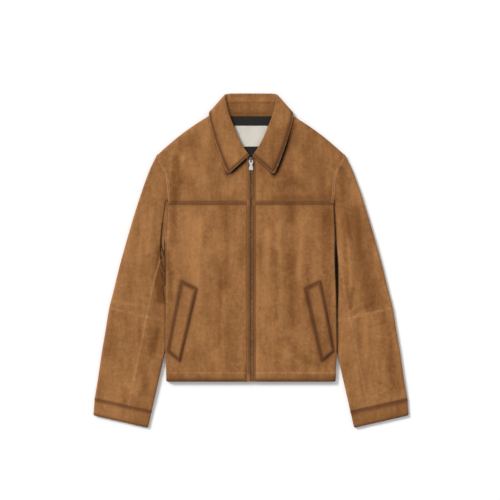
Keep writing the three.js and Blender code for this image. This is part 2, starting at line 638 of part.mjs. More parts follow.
// Collar: one band with a rolled edge. It is laid out flat, with the leaf's outer face up, and then each side
// is folded over a slanted line, so that the leaf lies on the front and the fall behind the neck.
const FOLD = { x: 62.5, y: 399.5, lean: 48.6, radius: 8 };
const FOLD_ALONG = { x: Math.cos(radians(FOLD.lean)), y: -Math.sin(radians(FOLD.lean)) };
const FOLD_OUT = { x: -FOLD_ALONG.y, y: FOLD_ALONG.x };
const LEAF_LIFT = { high: 2.4, edge: 1.0, start: 10, run: 45 }; // the leaf rises away from the fold
const LEAF_ROLL = plan([ // on the front
  [3.2, 252.5], [13.2, 265.7], [24.0, 283.7], [33.6, 304.1], [41.3, 323.3], [49.0, 342.5], [55.2, 361.7],
  [59.4, 379.7],
]);
const LEAF_EDGE = plan([
  [55.2, 206.2], [63.6, 222.5], [71.8, 243.5], [80.2, 266.9], [88.1, 290.9], [95.5, 316.1], [100.2, 334.0],
  [101.5, 347.5],
]);
const FALL_ROLL = plan([[50, COLLAR_TOP_Y], [26, COLLAR_TOP_Y], [0, COLLAR_TOP_Y]]); // behind the neck
const FALL_EDGE = plan([[84, 360], [42, 354], [0, 352]]);
const ROLL = { front: 2.6, back: 3.4, turns: [-90, -45, 0, 45] }; // radii of the rolled edge, and degrees
const STAND_SEAM_Y = 381.3;
const STAND_SIDE = 7; // width of the band's underside at the front

function acrossFold({ x, y }) {
  const dx = x - FOLD.x;
  const dy = y - FOLD.y;
  return { a: dx * FOLD_OUT.x + dy * FOLD_OUT.y, b: dx * FOLD_ALONG.x + dy * FOLD_ALONG.y };
}

const fromFold = (a, b) => ({
  x: FOLD.x + a * FOLD_OUT.x + b * FOLD_ALONG.x, y: FOLD.y + a * FOLD_OUT.y + b * FOLD_ALONG.y,
});

// The place on the flat band of a point that lies behind the neck
function unfolded(p) {
  const { a, b } = acrossFold(p);
  return fromFold((Math.PI - 2) * FOLD.radius - a, b);
}

// Square to the roll, on the flat band behind the neck
const fallFrom = unfolded({ x: 0, y: COLLAR_TOP_Y });
const fallTo = unfolded({ x: 0, y: COLLAR_TOP_Y - 1 });
const FALL_SIDE = { x: fallTo.x - fallFrom.x, y: fallTo.y - fallFrom.y };

// The place in the jacket of a point of the flat band, h above the leaf's outer face
function folded(p, h, toEdge) {
  const { a, b } = acrossFold(p);
  const turn = (a + FOLD.radius) / FOLD.radius;
  const reach = FOLD.radius + h;
  if (turn <= 0) {
    const away = ease((-a - LEAF_LIFT.start) / LEAF_LIFT.run);
    return { ...p, z: FOLD.radius + reach + away * lerp(LEAF_LIFT.high, LEAF_LIFT.edge, ease(toEdge)) };
  }
  if (turn >= Math.PI) return { ...fromFold((Math.PI - 2) * FOLD.radius - a, b), z: -h };
  return { ...fromFold(reach * Math.sin(turn) - FOLD.radius, b), z: FOLD.radius + reach * Math.cos(turn) };
}

// Width of the band's underside, from the roll to the seam with the stand
function underside(start, end, radius, behind) {
  const width = Math.hypot(end.x - start.x, end.y - start.y);
  const straight = (end.x - start.x) * FALL_SIDE.x + (end.y - start.y) * FALL_SIDE.y;
  return lerp(STAND_SIDE, ((COLLAR_TOP_Y - STAND_SEAM_Y - HALF_SEAM) * width) / straight, behind);
}

function collarRow(start, end, behind) {
  const width = Math.hypot(end.x - start.x, end.y - start.y);
  const radius = lerp(ROLL.front, ROLL.back, behind);
  const under = underside(start, end, radius, behind);
  const at = (run, h) => folded(mix(start, end, run / width), h, run / width);
  const rolled = ROLL.turns.map(radians).map(
    (turn) => at(radius * (1 - Math.cos(turn)), radius * (Math.sin(turn) - 1)));
  return [
    at(under, -2 * radius),
    at(lerp(under, radius, 0.5), -2 * radius),
    ...rolled,
    ...evenly(5, radius, width).map((run) => at(run, 0)),
  ];
}

function collar() {
  const front = LEAF_ROLL.length - 1;
  const last = front + FALL_ROLL.length;
  const curve = (points) => new THREE.CatmullRomCurve3(points.map((p) => new THREE.Vector3(p.x, p.y, 0)));
  const rollLine = curve([...LEAF_ROLL, ...FALL_ROLL.map(unfolded)]);
  const edgeLine = curve([...LEAF_EDGE, ...FALL_EDGE.map(unfolded)]);
  const stations = [
    ...evenly(14, 0, front),
    ...evenly(9, front, front + 1).slice(1),
    ...evenly(5, front + 1, last).slice(1),
  ];
  const half = stations.map(
    (k) => collarRow(rollLine.getPoint(k / last), edgeLine.getPoint(k / last), ease(k - front)));
  const onSide = (list, side) => list.map(
    (row) => row.map(({ x, y, z }) => new THREE.Vector3(side * x, y, z)));
  const rows = [...onSide(half, 1), ...onSide(half.slice(0, -1), -1).reverse()];
  return sheet(rows, { wall: COLLAR_WALL, sign: -1, edges: [] });
}

// A piece that lies flat inside the neck, as wide at the top as at the bottom
function flatPiece({ topY, bottomY, half, wall, rows, columns }, heightAt) {
  return sheet(evenly(rows, topY, bottomY).map((y) => evenly(columns, -half, half).map(
    (x) => new THREE.Vector3(x, y, heightAt(x, y)))), { wall, edges: [] });
}

// Collar stand inside the back neck
const STAND = { topY: STAND_SEAM_Y - HALF_SEAM, bottomY: 346.7, half: 66, wall: 1.7, rows: 3, columns: 6 };
const collarStand = () => flatPiece(STAND, () => 2 * ROLL.back);

// Lining that shows inside the neck, and the label sewn on it
const LINING = { topY: 346.2, bottomY: 168, half: 86, wall: 0.8, rows: 10, columns: 6 };
const LABEL = { topY: 323.8, bottomY: 273.8, half: 40, wall: 0.6, rows: 4, columns: 2 };
const liningTop = (x, y) => backLow(x, y) + WALL + LAY_GAP + LINING.wall;
const neckLining = () => flatPiece(LINING, liningTop);
const label = () => flatPiece(LABEL, (x, y) => liningTop(x, y) + LAY_GAP + LABEL.wall);

// Zip slider with its crown, and the pull tab that hangs in the crown
const PIVOT = { y: 240.5, above: 4.3 };
const SLIDER = { half: 4.6, front: 7.5, back: -4.5, base: 0.9, top: 2.5, corner: 2.4 };
const CROWN = { half: 1.2, front: 4.2, back: -4.2, top: 6.4, sunk: 0.6 };
const CROWN_HOLE = { front: 2.5, back: -2.5, low: 2.95, high: 5.6 };
const TAB = { length: 24, ring: 5.4, waist: 3.1, foot: 5.2, wall: 1.6, tilt: 6.4 };
const TAB_HOLE = { half: 2.0, near: -0.8, far: -5.3, corner: 1 };
const CUT = 1; // how far a hole's cutter goes beyond the metal

// An upright prism on an outline, with its corners shared so that it is one closed body
function outlineSolid(outline, depth) {
  const shape = new THREE.Shape(outline.map(([a, b]) => new THREE.Vector2(a, b)));
  const geometry = new THREE.ExtrudeGeometry(shape, { depth, bevelEnabled: false });
  const flat = new Map();
  const positions = [];
  const index = [];
  const source = geometry.attributes.position;
  for (let k = 0; k < source.count; k += 1) {
    const p = [source.getX(k), source.getY(k), source.getZ(k)];
    const key = p.map((v) => v.toFixed(4)).join();
    if (!flat.has(key)) {
      flat.set(key, positions.length / 3);
      positions.push(...p);
    }
    index.push(flat.get(key));
  }
  return closedBody(positions, index);
}

function slider() {
  const seat = frontTop(0, PIVOT.y);
  const { half, front, back, corner } = SLIDER;
  const plate = outlineSolid([
    [-half, back + corner], [-half + corner, back], [half - corner, back], [half, back + corner],
    [half, front - corner], [half - corner, front], [-half + corner, front], [-half, front - corner],
  ], SLIDER.top - SLIDER.base).translate(0, PIVOT.y, seat + SLIDER.base);
  const upright = (y0, y1, z0, z1, reach) => outlineSolid([[y0, z0], [y1, z0], [y1, z1], [y0, z1]], 2 * reach)
    .applyMatrix4(new THREE.Matrix4().makeBasis(
      new THREE.Vector3(0, 1, 0), new THREE.Vector3(0, 0, 1), new THREE.Vector3(1, 0, 0)))
    .translate(-reach, PIVOT.y, seat);
  const arch = upright(CROWN.back, CROWN.front, SLIDER.top - CROWN.sunk, CROWN.top, CROWN.half);
  const hole = upright(CROWN_HOLE.back, CROWN_HOLE.front, CROWN_HOLE.low, CROWN_HOLE.high, CROWN.half + CUT);
  return fromManifold(toManifold(plate).add(toManifold(arch).subtract(toManifold(hole))));
}

function pullTab() {
  const right = [ // half width, and the distance from the pivot
    [2.4, 0.8], [4.4, -0.6], [TAB.ring, -3.2], [4.9, -6.2], [TAB.waist, -10], [TAB.waist, -13],
    [4.9, -17.5], [TAB.foot, -22], [4.3, -TAB.length],
  ];
  const plate = outlineSolid([...right, ...[...right].reverse().map(([x, y]) => [-x, y])], TAB.wall);
  const { half, near, far, corner } = TAB_HOLE;
  const hole = outlineSolid([
    [-half, near], [half, near], [half, far + corner], [half - corner, far], [corner - half, far],
    [-half, far + corner],
  ], TAB.wall + 2 * CUT).translate(0, 0, -CUT);
  const tab = fromManifold(toManifold(plate).subtract(toManifold(hole)));
  tab.translate(0, 0, -TAB.wall / 2);
  tab.rotateX(radians(TAB.tilt));
  return tab.translate(0, PIVOT.y, frontTop(0, PIVOT.y) + PIVOT.above);
}

// The jacket
for (const [name, side] of [["left", -1], ["right", 1]]) {
  add(`front_yoke_${name}`, frontYoke(side), suede);
  add(`front_panel_${name}`, frontPanel(side), suede);
  add(`pocket_welt_${name}`, welt(side), suede);
  add(`placket_${name}`, placket(side), burnished);
  add(`zip_tape_${name}`, zipHalf(side), tapeCloth);
  add(`sleeve_upper_outer_${name}`, sleevePanel(UPPER_ARM, side, overOuterFold), suede);
  add(`sleeve_upper_inner_${name}`, sleevePanel(UPPER_ARM, side, overInnerFold), suede);
  add(`sleeve_lower_outer_${name}`, sleevePanel(FOREARM, side, overOuterFold), suede);
  add(`sleeve_lower_inner_${name}`, sleevePanel(FOREARM, side, overInnerFold), suede);
  add(`cuff_${name}`, cuff(side), suede);
}
add("back_panel", backPanel(), suede);
add("collar", collar(), suede);
add("collar_stand", collarStand(), suede);
add("neck_lining", neckLining(), lining);
add("neck_label", label(), labelCloth);
add("zip_slider", slider(), nickel);
add("zip_pull", pullTab(), nickel);

export default jacket;
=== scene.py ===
# %% [markdown]
# # A suede zip jacket laid flat
#
# The jacket lies on its back and is seen from straight above. Each cloth piece that a maker would
# cut is rebuilt here as one thin closed wall on the form of its solid, because cloth shows its wear
# in creases and edges that are far finer than the solids. The plan of every piece is a table of
# real sizes in millimetres, and its height comes from what it lies on.

import json
import math

import bmesh
import bpy
import numpy as np
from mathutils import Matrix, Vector
from mathutils.bvhtree import BVHTree

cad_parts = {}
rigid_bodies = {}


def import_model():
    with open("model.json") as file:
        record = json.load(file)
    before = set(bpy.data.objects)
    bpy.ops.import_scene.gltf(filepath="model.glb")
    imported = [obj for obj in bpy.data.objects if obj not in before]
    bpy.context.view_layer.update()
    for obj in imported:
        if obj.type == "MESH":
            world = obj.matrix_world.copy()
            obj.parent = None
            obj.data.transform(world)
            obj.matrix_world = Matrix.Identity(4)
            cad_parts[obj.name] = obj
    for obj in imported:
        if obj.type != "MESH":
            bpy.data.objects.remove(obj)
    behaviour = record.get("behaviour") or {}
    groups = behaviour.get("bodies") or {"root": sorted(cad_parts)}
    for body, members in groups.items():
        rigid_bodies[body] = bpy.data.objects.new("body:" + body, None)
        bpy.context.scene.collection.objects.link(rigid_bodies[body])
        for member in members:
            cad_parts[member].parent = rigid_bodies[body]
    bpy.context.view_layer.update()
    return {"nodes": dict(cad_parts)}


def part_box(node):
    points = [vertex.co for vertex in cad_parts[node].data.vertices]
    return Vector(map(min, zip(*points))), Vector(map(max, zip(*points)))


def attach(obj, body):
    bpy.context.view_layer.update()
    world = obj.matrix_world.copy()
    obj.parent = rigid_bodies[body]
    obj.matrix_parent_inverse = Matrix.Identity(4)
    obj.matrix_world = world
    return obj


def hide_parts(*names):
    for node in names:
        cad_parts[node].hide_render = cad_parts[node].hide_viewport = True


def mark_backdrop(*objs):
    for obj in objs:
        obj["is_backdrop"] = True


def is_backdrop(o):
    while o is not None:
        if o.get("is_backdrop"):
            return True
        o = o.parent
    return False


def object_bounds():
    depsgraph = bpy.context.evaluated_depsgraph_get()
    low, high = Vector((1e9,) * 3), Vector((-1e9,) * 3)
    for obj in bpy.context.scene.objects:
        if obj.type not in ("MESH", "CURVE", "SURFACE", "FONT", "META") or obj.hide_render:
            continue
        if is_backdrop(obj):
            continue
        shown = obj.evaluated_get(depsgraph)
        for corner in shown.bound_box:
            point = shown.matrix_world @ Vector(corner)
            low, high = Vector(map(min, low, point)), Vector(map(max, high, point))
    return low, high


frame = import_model()

# %% [markdown]
# ## Camera
#
# A jacket that is laid on a table is photographed from a copy stand, straight above it. A turned
# camera could be aimed with a constraint, but a camera with no rotation already looks straight
# down, so only its place is set. The long lens keeps the sleeves from leaning outwards at the sides
# of the picture.

# %% Camera
camera = bpy.data.objects.new("camera", bpy.data.cameras.new("camera"))
bpy.context.scene.collection.objects.link(camera)
camera.data.lens = 85
camera.data.sensor_width = 36
camera.location = (-0.0024, 0.0252, 1.2 * 85 / 36 + 0.012)
bpy.context.scene.camera = camera
print("camera height, m:", round(camera.location.z, 3))

# %% [markdown]
# ## Table top
#
# The jacket needs something to lie on and to drop its soft shadow on. A plane of four corners is
# enough. It is far larger than the jacket, so that its edges never show, and it is rough and
# without shine, like paper.

# %% Table top
floor_mesh = bpy.data.meshes.new("floor")
floor_mesh.from_pydata([(-6, -6, 0), (6, -6, 0), (6, 6, 0), (-6, 6, 0)], [], [(0, 1, 2, 3)])
floor = bpy.data.objects.new("floor", floor_mesh)
bpy.context.scene.collection.objects.link(floor)
paper = bpy.data.materials.new("floor")
paper.use_nodes = True
paper.node_tree.nodes["Principled BSDF"].inputs["Base Color"].default_value = (0.93, 0.93, 0.93, 1)
paper.node_tree.nodes["Principled BSDF"].inputs["Roughness"].default_value = 0.9
paper.node_tree.nodes["Principled BSDF"].inputs["Specular IOR Level"].default_value = 0.0
floor_mesh.materials.append(paper)
print("table top faces:", len(floor_mesh.polygons))

# %% [markdown]
# ## Studio light
#
# Two lights make the picture. A white sky that is brighter above than at its sides fills every
# crease softly, and a wide sun from the upper left gives the folds one lit side and one darker
# side. Area lamps could do the same, but they would have to be placed again for each view, and a
# sky and a sun serve all of them.

# %% Studio light
world = bpy.data.worlds.new("world")
bpy.context.scene.world = world
world.use_nodes = True
sky = world.node_tree
sky.nodes["Background"].inputs["Color"].default_value = (1, 1, 1, 1)
way = sky.nodes.new("ShaderNodeTexCoord").outputs["Generated"]
upward = sky.nodes.new("ShaderNodeSeparateXYZ")
strength = sky.nodes.new("ShaderNodeMapRange")
for socket, value in (("To Min", 0.2), ("To Max", 0.82)):
    strength.inputs[socket].default_value = value
sky.links.new(way, upward.inputs[0])
sky.links.new(upward.outputs["Z"], strength.inputs["Value"])
sky.links.new(strength.outputs[0], sky.nodes["Background"].inputs["Strength"])
key = bpy.data.objects.new("key", bpy.data.lights.new("key", "SUN"))
bpy.context.scene.collection.objects.link(key)
key.data.angle = math.radians(17)
key.data.energy = 2.3
key.rotation_euler = Vector((0.58, -0.52, -0.72)).to_track_quat("-Z", "Y").to_euler()
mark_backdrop(floor, key)
bpy.context.scene.view_settings.view_transform = "Standard"
print("sun energy:", key.data.energy, "sky from 0.2 at the sides to 0.82 above")

# %% [markdown]
# ## Sizes
#
# A pattern cutter starts from measures. These are the right half of the plan in millimetres, x
# across from the zip and y up to the collar. They are the sizes that the solids have too, so that a
# piece and its solid agree. They could be read back from the solids' meshes, but a short table of
# points is easier to read and to change.

# %% Cloth, hem and zip sizes
MM = 0.001
WALL, CUFF_WALL, COLLAR_WALL = 2.0, 2.5, 2.4
HEM_Y, YOKE_Y, ZIP_TOP_Y = -290.9, 137.3, 250.0
HEM_SEAM_X = 150.0
UNDERARM, NECK_POINT, BACK_NECK_Y = (139.0, 78.0), (72.0, 369.0), 358.0
FRONT_HIGH, SHOULDER_HIGH, SLEEVE_HIGH = 15.0, 12.5, 12.5
CUFF_HIGH, TUCK_HIGH, TUCK_CLEAR = 10.6, 6.0, 0.8
PLACKET_IN, PLACKET_OUT, PANEL_IN = 1.0, 10.4, 10.5
STEP = 3.0
print("front, hem to zip top, mm:", round(ZIP_TOP_Y - HEM_Y, 1))

# %% Outlines of the right half
ARMHOLE = [(227.5, 251.3), (218.4, 229.7), (209.8, 214.1), (205.0, 197.3), (202.3, 180.5),
           (200.4, 160.1), (198.7, 144.5), (198.0, 137.3), (186.0, 124.0), (172.0, 108.0),
           (156.0, 92.0), (139.0, 78.0)]
SHOULDER = [(72.0, 369.0), (102.0, 347.0), (134.0, 327.0), (165.0, 305.0), (191.0, 284.0),
            (212.0, 265.5), (227.5, 251.3)]
SLEEVE_OUTER = [(227.5, 251.3), (235.2, 235.7), (244.0, 216.5), (258.5, 178.0), (271.2, 139.7),
                (283.2, 101.3), (300.0, 43.7), (316.0, -13.9), (330.0, -71.5), (340.8, -114.0),
                (349.7, -167.5), (359.3, -225.1), (367.7, -282.7), (375.8, -331.0)]
NECKLINE = [(PANEL_IN, 248.0), (26.4, 271.7), (40.8, 298.0), (52.8, 324.5), (62.4, 348.5),
            (72.0, 369.0)]
BODY_FOLD = [(-290.9, 203.0), (-223.0, 206.0), (-40.0, 204.0), (60.0, 201.5), (137.3, 198.0)]
ELBOW = ((340.8, -114.0), (190.2, -148.3))
CUFF_SEAM = ((375.8, -331.0), (238.7, -361.4))
CUFF_EDGE = ((379.2, -372.2), (248.0, -402.2))
WELT = [(166.0, -50.5), (130.5, -68.5), (170.5, -240.5), (198.0, -217.5)]
OUTLINE = (ARMHOLE, SHOULDER, SLEEVE_OUTER, NECKLINE, BODY_FOLD)
print("outline points:", sum(len(table) for table in OUTLINE))

# %% [markdown]
# ## Creases
#
# Suede that has been folded and worn keeps long soft troughs down the body and the sleeves, and
# short crumples near the hem, the elbows and the cuffs. Noise could crease the cloth, but its
# creases are even and have no reason, so each one here is given one by one. A row is x, y at one
# end, x, y at the other, half width and depth, and a negative depth is a ridge.

# %% Long folds of the body and the sleeves
BODY_FOLDS = [
    (-84, 112, -92, -256, 24, 2.6), (-186, 96, -190, -60, 14, 1.6), (-44, 60, -50, -190, 16, 1.2),
    (98, 118, 96, -190, 24, 3.0), (44, 96, 52, -80, 15, 1.1), (160, 40, 168, -40, 16, 1.3),
    (-182, 238, -174, 150, 15, 2.0), (182, 232, 178, 150, 14, 2.2), (-198, 137, -190, 140, 20, 1.2),
    (198, 137, 190, 140, 20, 1.2),
]
SLEEVE_FOLDS = [
    (240, 190, 256, -118, 13, 2.8), (292, 20, 312, -90, 12, 1.3), (262, -150, 284, -300, 13, 1.4),
    (-252, 170, -276, 10, 15, 1.8), (-236, -86, -218, -122, 12, 2.0),
    (-292, -160, -310, -290, 13, 1.5), (-228, -216, -246, -224, 9, 1.6),
]
print("long folds:", len(BODY_FOLDS) + len(SLEEVE_FOLDS))

# %% Small creases of the body
BODY_CREASES = [
    (-118, 96, -126, -120, 11, -0.9), (-62, 70, -66, -240, 9, -0.8),
    (-74, -20, -70, -150, 6, 0.5), (-150, 110, -158, -10, 12, -0.6),
    (-30, 118, -34, -20, 8, -0.5), (-48, -239, -26, -262, 3.2, 0.9),
    (-56, -243, -30, -252, 3.5, -0.7), (-38, -232, -30, -246, 2.6, 0.7),
    (-22, -226, -34, -236, 3.0, -0.5), (70, 88, 72, -150, 10, -0.8),
    (124, 100, 118, -40, 12, -0.8), (96, -190, 108, -262, 12, 1.0),
    (26, -206, 34, -226, 3.0, 0.9), (34, -222, 50, -236, 3.2, 0.7),
    (42, -214, 30, -238, 3.6, -0.6), (58, -238, 104, -252, 4.0, -0.6),
    (60, 106, 66, 92, 5.0, 0.7), (34, 60, 70, 30, 6.0, -0.4), (180, 66, 186, -20, 8, -0.7),
    (192, 118, 176, 90, 7, 0.9), (-192, 118, -178, 84, 7, 0.8), (-160, 246, -176, 196, 8, -0.9),
    (-60, 230, -84, 168, 16, 0.8), (-104, 210, -112, 160, 14, -0.6), (86, 196, 124, 176, 11, 0.9),
    (110, 214, 150, 190, 12, -0.7), (60, 226, 78, 160, 16, 0.6), (152, 300, 128, 262, 14, 0.7),
    (-148, 300, -122, 268, 14, 0.6), (-132, 36, -100, 20, 10, -0.4),
    (132, -96, 120, -150, 12, 0.7), (-140, -180, -120, -230, 14, 0.6),
    (150, -258, 186, -262, 6, -0.4),
]
print("small creases of the body:", len(BODY_CREASES))

# %% Small creases of the sleeves and the collar
SLEEVE_CREASES = [
    (226, 150, 240, -60, 9, -1.2), (262, 176, 272, 30, 9, -1.0), (246, -70, 240, -116, 6, 1.2),
    (232, 110, 236, 60, 5, 1.0), (222, 60, 232, -10, 5, 0.9), (300, -100, 250, -126, 5, 0.9),
    (258, -108, 238, -124, 3.5, -0.9), (322, -150, 286, -160, 6, 0.6),
    (300, -290, 330, -304, 3.2, 0.9), (296, -306, 318, -292, 3.0, 0.7),
    (316, -316, 340, -300, 3.6, -0.8), (338, -284, 352, -312, 3.0, 0.9),
    (352, -268, 348, -300, 3.4, -0.7), (306, -312, 334, -320, 3.4, 0.6),
    (262, -250, 272, -320, 8, 0.7), (330, -190, 322, -250, 9, -0.6), (214, 40, 226, 0, 4, 0.8),
    (298, 60, 306, -40, 10, -0.8), (-234, 120, -246, 20, 9, -0.9),
    (-286, 90, -300, -20, 12, -0.7), (-218, -6, -228, -60, 7, 1.4), (-226, 20, -214, 6, 4, 0.9),
    (-222, -10, -212, -24, 3.5, 0.8), (-234, -44, -216, -58, 4.5, 0.9),
    (-250, -112, -330, -100, 5, -0.5), (-240, -160, -236, -206, 7, 0.9),
    (-232, -226, -212, -232, 5, -0.9), (-262, -282, -276, -320, 9, -0.7),
    (-250, -300, -268, -330, 6, 0.7), (-354, -280, -366, -300, 3.4, 0.8),
    (-348, -306, -362, -290, 3.2, 0.7), (-356, -312, -338, -318, 3.6, -0.5),
    (-322, -200, -330, -270, 12, 0.6),
]

COLLAR_CREASES = [
    (-58, 316, -41, 301, 4.2, 1.0), (-54, 325, -38, 311, 4.5, -0.8), (-70, 300, -56, 306, 5.0, 0.5),
    (-44, 290, -30, 262, 7.0, 0.5), (50, 330, 66, 306, 6.0, 0.6), (74, 330, 88, 318, 6.0, 0.5),
    (-84, 330, -72, 300, 7.0, 0.6), (40, 268, 60, 250, 6.0, -0.5), (-62, 262, -48, 240, 7.0, -0.5),
    (66, 280, 74, 262, 6.0, 0.4),
]
print("small creases of the sleeves:", len(SLEEVE_CREASES), "of the collar:", len(COLLAR_CREASES))

# %% [markdown]
# ## Painted shade and dark gaps
#
# Broad patches of the suede are painted darker or lighter where the folds and the light from the
# upper left leave them in shade or in light. Where the sleeve lies hard against the body so little
# light gets in that the cloth looks nearly black, and this is painted as shadow. Both are kept as
# tables of the same form as the creases, with a strength in place of a depth, because their places
# belong to this jacket alone.

# %% Places of painted shade and painted light
# Each row darkens the colour as painted shade, and a negative strength lightens it as painted light.
PAINTED_SHADES = [
    (-63, 128, -66, -60, 15, 0.5), (-72, -60, -78, -200, 17, 0.4), (98, 128, 98, 100, 16, 0.7),
    (96, 10, 100, -150, 20, 0.6), (57, 20, 60, -140, 14, 0.55), (118, -232, 172, -258, 14, 0.5),
    (250, 120, 284, -110, 20, 0.75), (-217, 30, -221, -95, 13, 1.2),
    (-226, -168, -238, -226, 12, 0.8), (-180, 246, -172, 190, 12, 0.7),
    (-180, 172, -178, 144, 11, 0.4), (66, 178, 106, 186, 18, 0.35),
    (130, 280, 186, 170, 40, 0.35), (110, -278, 200, -280, 10, 0.5),
    (-196, -280, -110, -282, 10, 0.3), (230, 40, 232, -110, 14, 0.4),
    (-336, -40, -352, -150, 18, -0.3), (150, 60, 148, 0, 18, -0.15),
    (-140, 80, -130, -200, 26, -0.35), (38, 70, 40, -20, 12, -0.4),
    (178, 116, 190, -190, 18, 0.7), (134, -20, 142, -100, 18, 0.45),
    (158, -150, 180, -232, 24, 0.6), (-50, 214, -20, 230, 16, 0.3), (24, 220, 84, 210, 20, 0.4),
    (98, 322, 66, 232, 16, 0.7), (-166, 268, -128, 298, 18, 0.35),
    (-188, 206, -186, 40, 12, 0.55), (-192, -30, -192, -90, 9, 0.6), (215, 220, 232, 60, 13, 0.7),
    (300, -60, 346, -300, 24, 0.6), (-246, -170, -252, -300, 12, 0.2),
    (134, 330, 206, 272, 16, 0.35), (-130, 218, -120, 188, 22, -0.4),
    (76, -215, 106, -236, 18, -0.45), (-86, -234, -70, -256, 17, -0.4),
    (-312, -150, -306, -204, 18, -0.35), (-290, -298, -280, -322, 12, -0.4),
    (-40, 398, 40, 398, 6, 0.3), (-40, 352, 40, 352, 10, 0.5), (58, 150, 192, 150, 11, 0.5),
    (-96, 150, -46, 150, 11, 0.4), (-60, 306, -38, 240, 20, -0.35), (66, 306, 50, 236, 18, 0.35),
    (-200, 20, -196, -20, 8, 0.4), (-214, -34, -214, -100, 7, 0.7),
]
print("patches of brushed nap:", len(PAINTED_SHADES))

# %% Painted shadow in the gaps beside the sleeves
PAINTED_GAP_SHADOWS = [
    (-206, 142, -213, 90, 2.4, 0.7), (-213, 90, -216.5, 54, 3.0, 0.9),
    (-216.5, 54, -217, 4, 3.8, 0.9), (-208, 50, -206.5, -60, 2.6, 0.8),
    (-214, 34, -210, 14, 3.4, 0.8), (-207, -160, -206.5, -200, 2.2, 0.5),
    (-216, -2, -209, -26, 4.2, 0.6), (-214, -30, -208, -56, 4.6, 0.55),
    (-219, -18, -213, -44, 3.2, 0.35), (-212, -60, -207.5, -98, 4.2, 0.6),
    (-218, -66, -211, -84, 3.6, 0.35), (-207, -98, -206.5, -150, 2.4, 0.5),
]

# The painted shadow in the gap beside the right sleeve is one long line, given as y, x, half
# width and darkness.
RIGHT_PAINTED_GAP = [
    (-215, 206.8, 1.2, 0.0), (-172, 206.8, 1.5, 0.55), (-120, 206.8, 2.2, 0.95),
    (-76, 206.8, 3.8, 1.35), (-10, 206.4, 3.9, 1.4), (24, 205.2, 2.8, 1.1), (60, 203.6, 1.8, 0.8),
    (110, 201.2, 1.3, 0.5), (136, 199.4, 1.0, 0.0),
]
print("dark lines beside the left sleeve:", len(PAINTED_GAP_SHADOWS), "points down the right one:", len(RIGHT_PAINTED_GAP))

# %% [markdown]
# ## Small maths
#
# Every form below is built from a few small functions: a blend, a soft step, the distance from a
# line, and the sum of a table of creases. They work on whole NumPy arrays at once, which is far
# quicker in Blender than a loop over vertices.

# %% Blends, distances and creases


def lerp(a, b, t):
    return a + (b - a) * t


def ease(t):
    t = np.clip(t, 0.0, 1.0)
    return t * t * (3.0 - 2.0 * t)


def from_segment(x, y, x0, y0, x1, y1):
    """Distance of each point from a straight piece of line."""
    dx, dy = x1 - x0, y1 - y0
    t = np.clip(((x - x0) * dx + (y - y0) * dy) / (dx * dx + dy * dy), 0.0, 1.0)
    return np.hypot(x - x0 - t * dx, y - y0 - t * dy)


def troughs(rows, x, y):
    """The depth of a table's soft troughs together, at each point."""
    total = np.zeros(np.broadcast(x, y).shape)
    for x0, y0, x1, y1, half, depth in rows:
        total += depth * np.exp(-2.0 * (from_segment(x, y, x0, y0, x1, y1) / half) ** 2)
    return total


def deepest(rows, x, y):
    """As troughs, but the deepest one alone, so that lines that meet don't add up."""
    return np.max([troughs([row], x, y) for row in rows], axis=0)


def round_edge(inward, radius):
    """A quarter circle: 0 at an edge, and 1 from a radius inwards."""
    return np.sqrt(1.0 - (1.0 - np.clip(inward / radius, 0.0, 1.0)) ** 2)


print("all folds at the middle of the left front, mm:",
      round(float(troughs(BODY_FOLDS, -88, -60)), 2))

# %% [markdown]
# ## Curved outlines
#
# A cutter joins the marked points with one smooth line drawn along a curved ruler. A Bezier curve
# object could do it, but its handles would need setting by hand. The curve here passes through
# every point and sets its own slopes from the distances between them, and it can be asked for a
# place by its share of the length.

# %% Curved outlines


class Curve:
    """A smooth curve through plan points, read by share of its length or by place in the table."""

    def __init__(self, points, samples=40):
        p = np.array(points, float)
        p = np.vstack([2 * p[0] - p[1], p, 2 * p[-1] - p[-2]])
        line = [p[1:2]]
        for a, b, c, d in zip(p, p[1:], p[2:], p[3:]):
            ab, bc, cd = (np.linalg.norm(v) ** 0.5 for v in (b - a, c - b, d - c))
            m1 = ((b - a) / ab - (c - a) / (ab + bc) + (c - b) / bc) * bc
            m2 = ((c - b) / bc - (d - b) / (bc + cd) + (d - c) / cd) * bc
            t = np.linspace(0, 1, samples + 1)[1:, None]
            line.append(b + m1 * t + (3 * (c - b) - 2 * m1 - m2) * t**2
                        + (2 * (b - c) + m1 + m2) * t**3)
        self.line = np.vstack(line)
        lengths = np.linalg.norm(np.diff(self.line, axis=0), axis=1)
        self.run = np.concatenate([[0.0], np.cumsum(lengths)])
        self.length = self.run[-1]
        self.place = np.linspace(0, len(points) - 1, len(self.line))

    def at(self, share):
        run = np.clip(share, 0, 1) * self.length
        return np.stack([np.interp(run, self.run, self.line[:, k]) for k in (0, 1)], -1)

    def at_place(self, place):
        return np.stack([np.interp(place, self.place, self.line[:, k]) for k in (0, 1)], -1)

    def share_at_y(self, y):
        return float(np.interp(-y, -self.line[:, 1], self.run) / self.length)


armhole, shoulder, neckline, sleeve_outer = (
    Curve(table) for table in (ARMHOLE, SHOULDER, NECKLINE, SLEEVE_OUTER))
print("armhole length, mm:", round(float(armhole.length), 1))

# %% [markdown]
# ## Rows of points
#
# A sewn or turned edge needs points close together, because its rounding is about a millimetre, and
# the plain cloth between needs few. Subdividing everything would spend the faces where nothing
# happens.

# %% Rows of points
FINE = np.array([0.0, 0.35, 0.9, 1.8, 2.9, 4.0, 5.2, 7.0, 9.5])


def graded(length, step=STEP, start=True, end=True):
    """Places along a length: close together at a sewn or turned edge, a step apart between."""
    low = FINE if start else FINE[:1]
    high = length - (FINE if end else FINE[:1])[::-1]
    count = max(2, round((high[0] - low[-1]) / step))
    return np.concatenate([low, np.linspace(low[-1], high[0], count + 1)[1:-1], high])


print("points over 100 mm of cloth:", len(graded(100.0)))

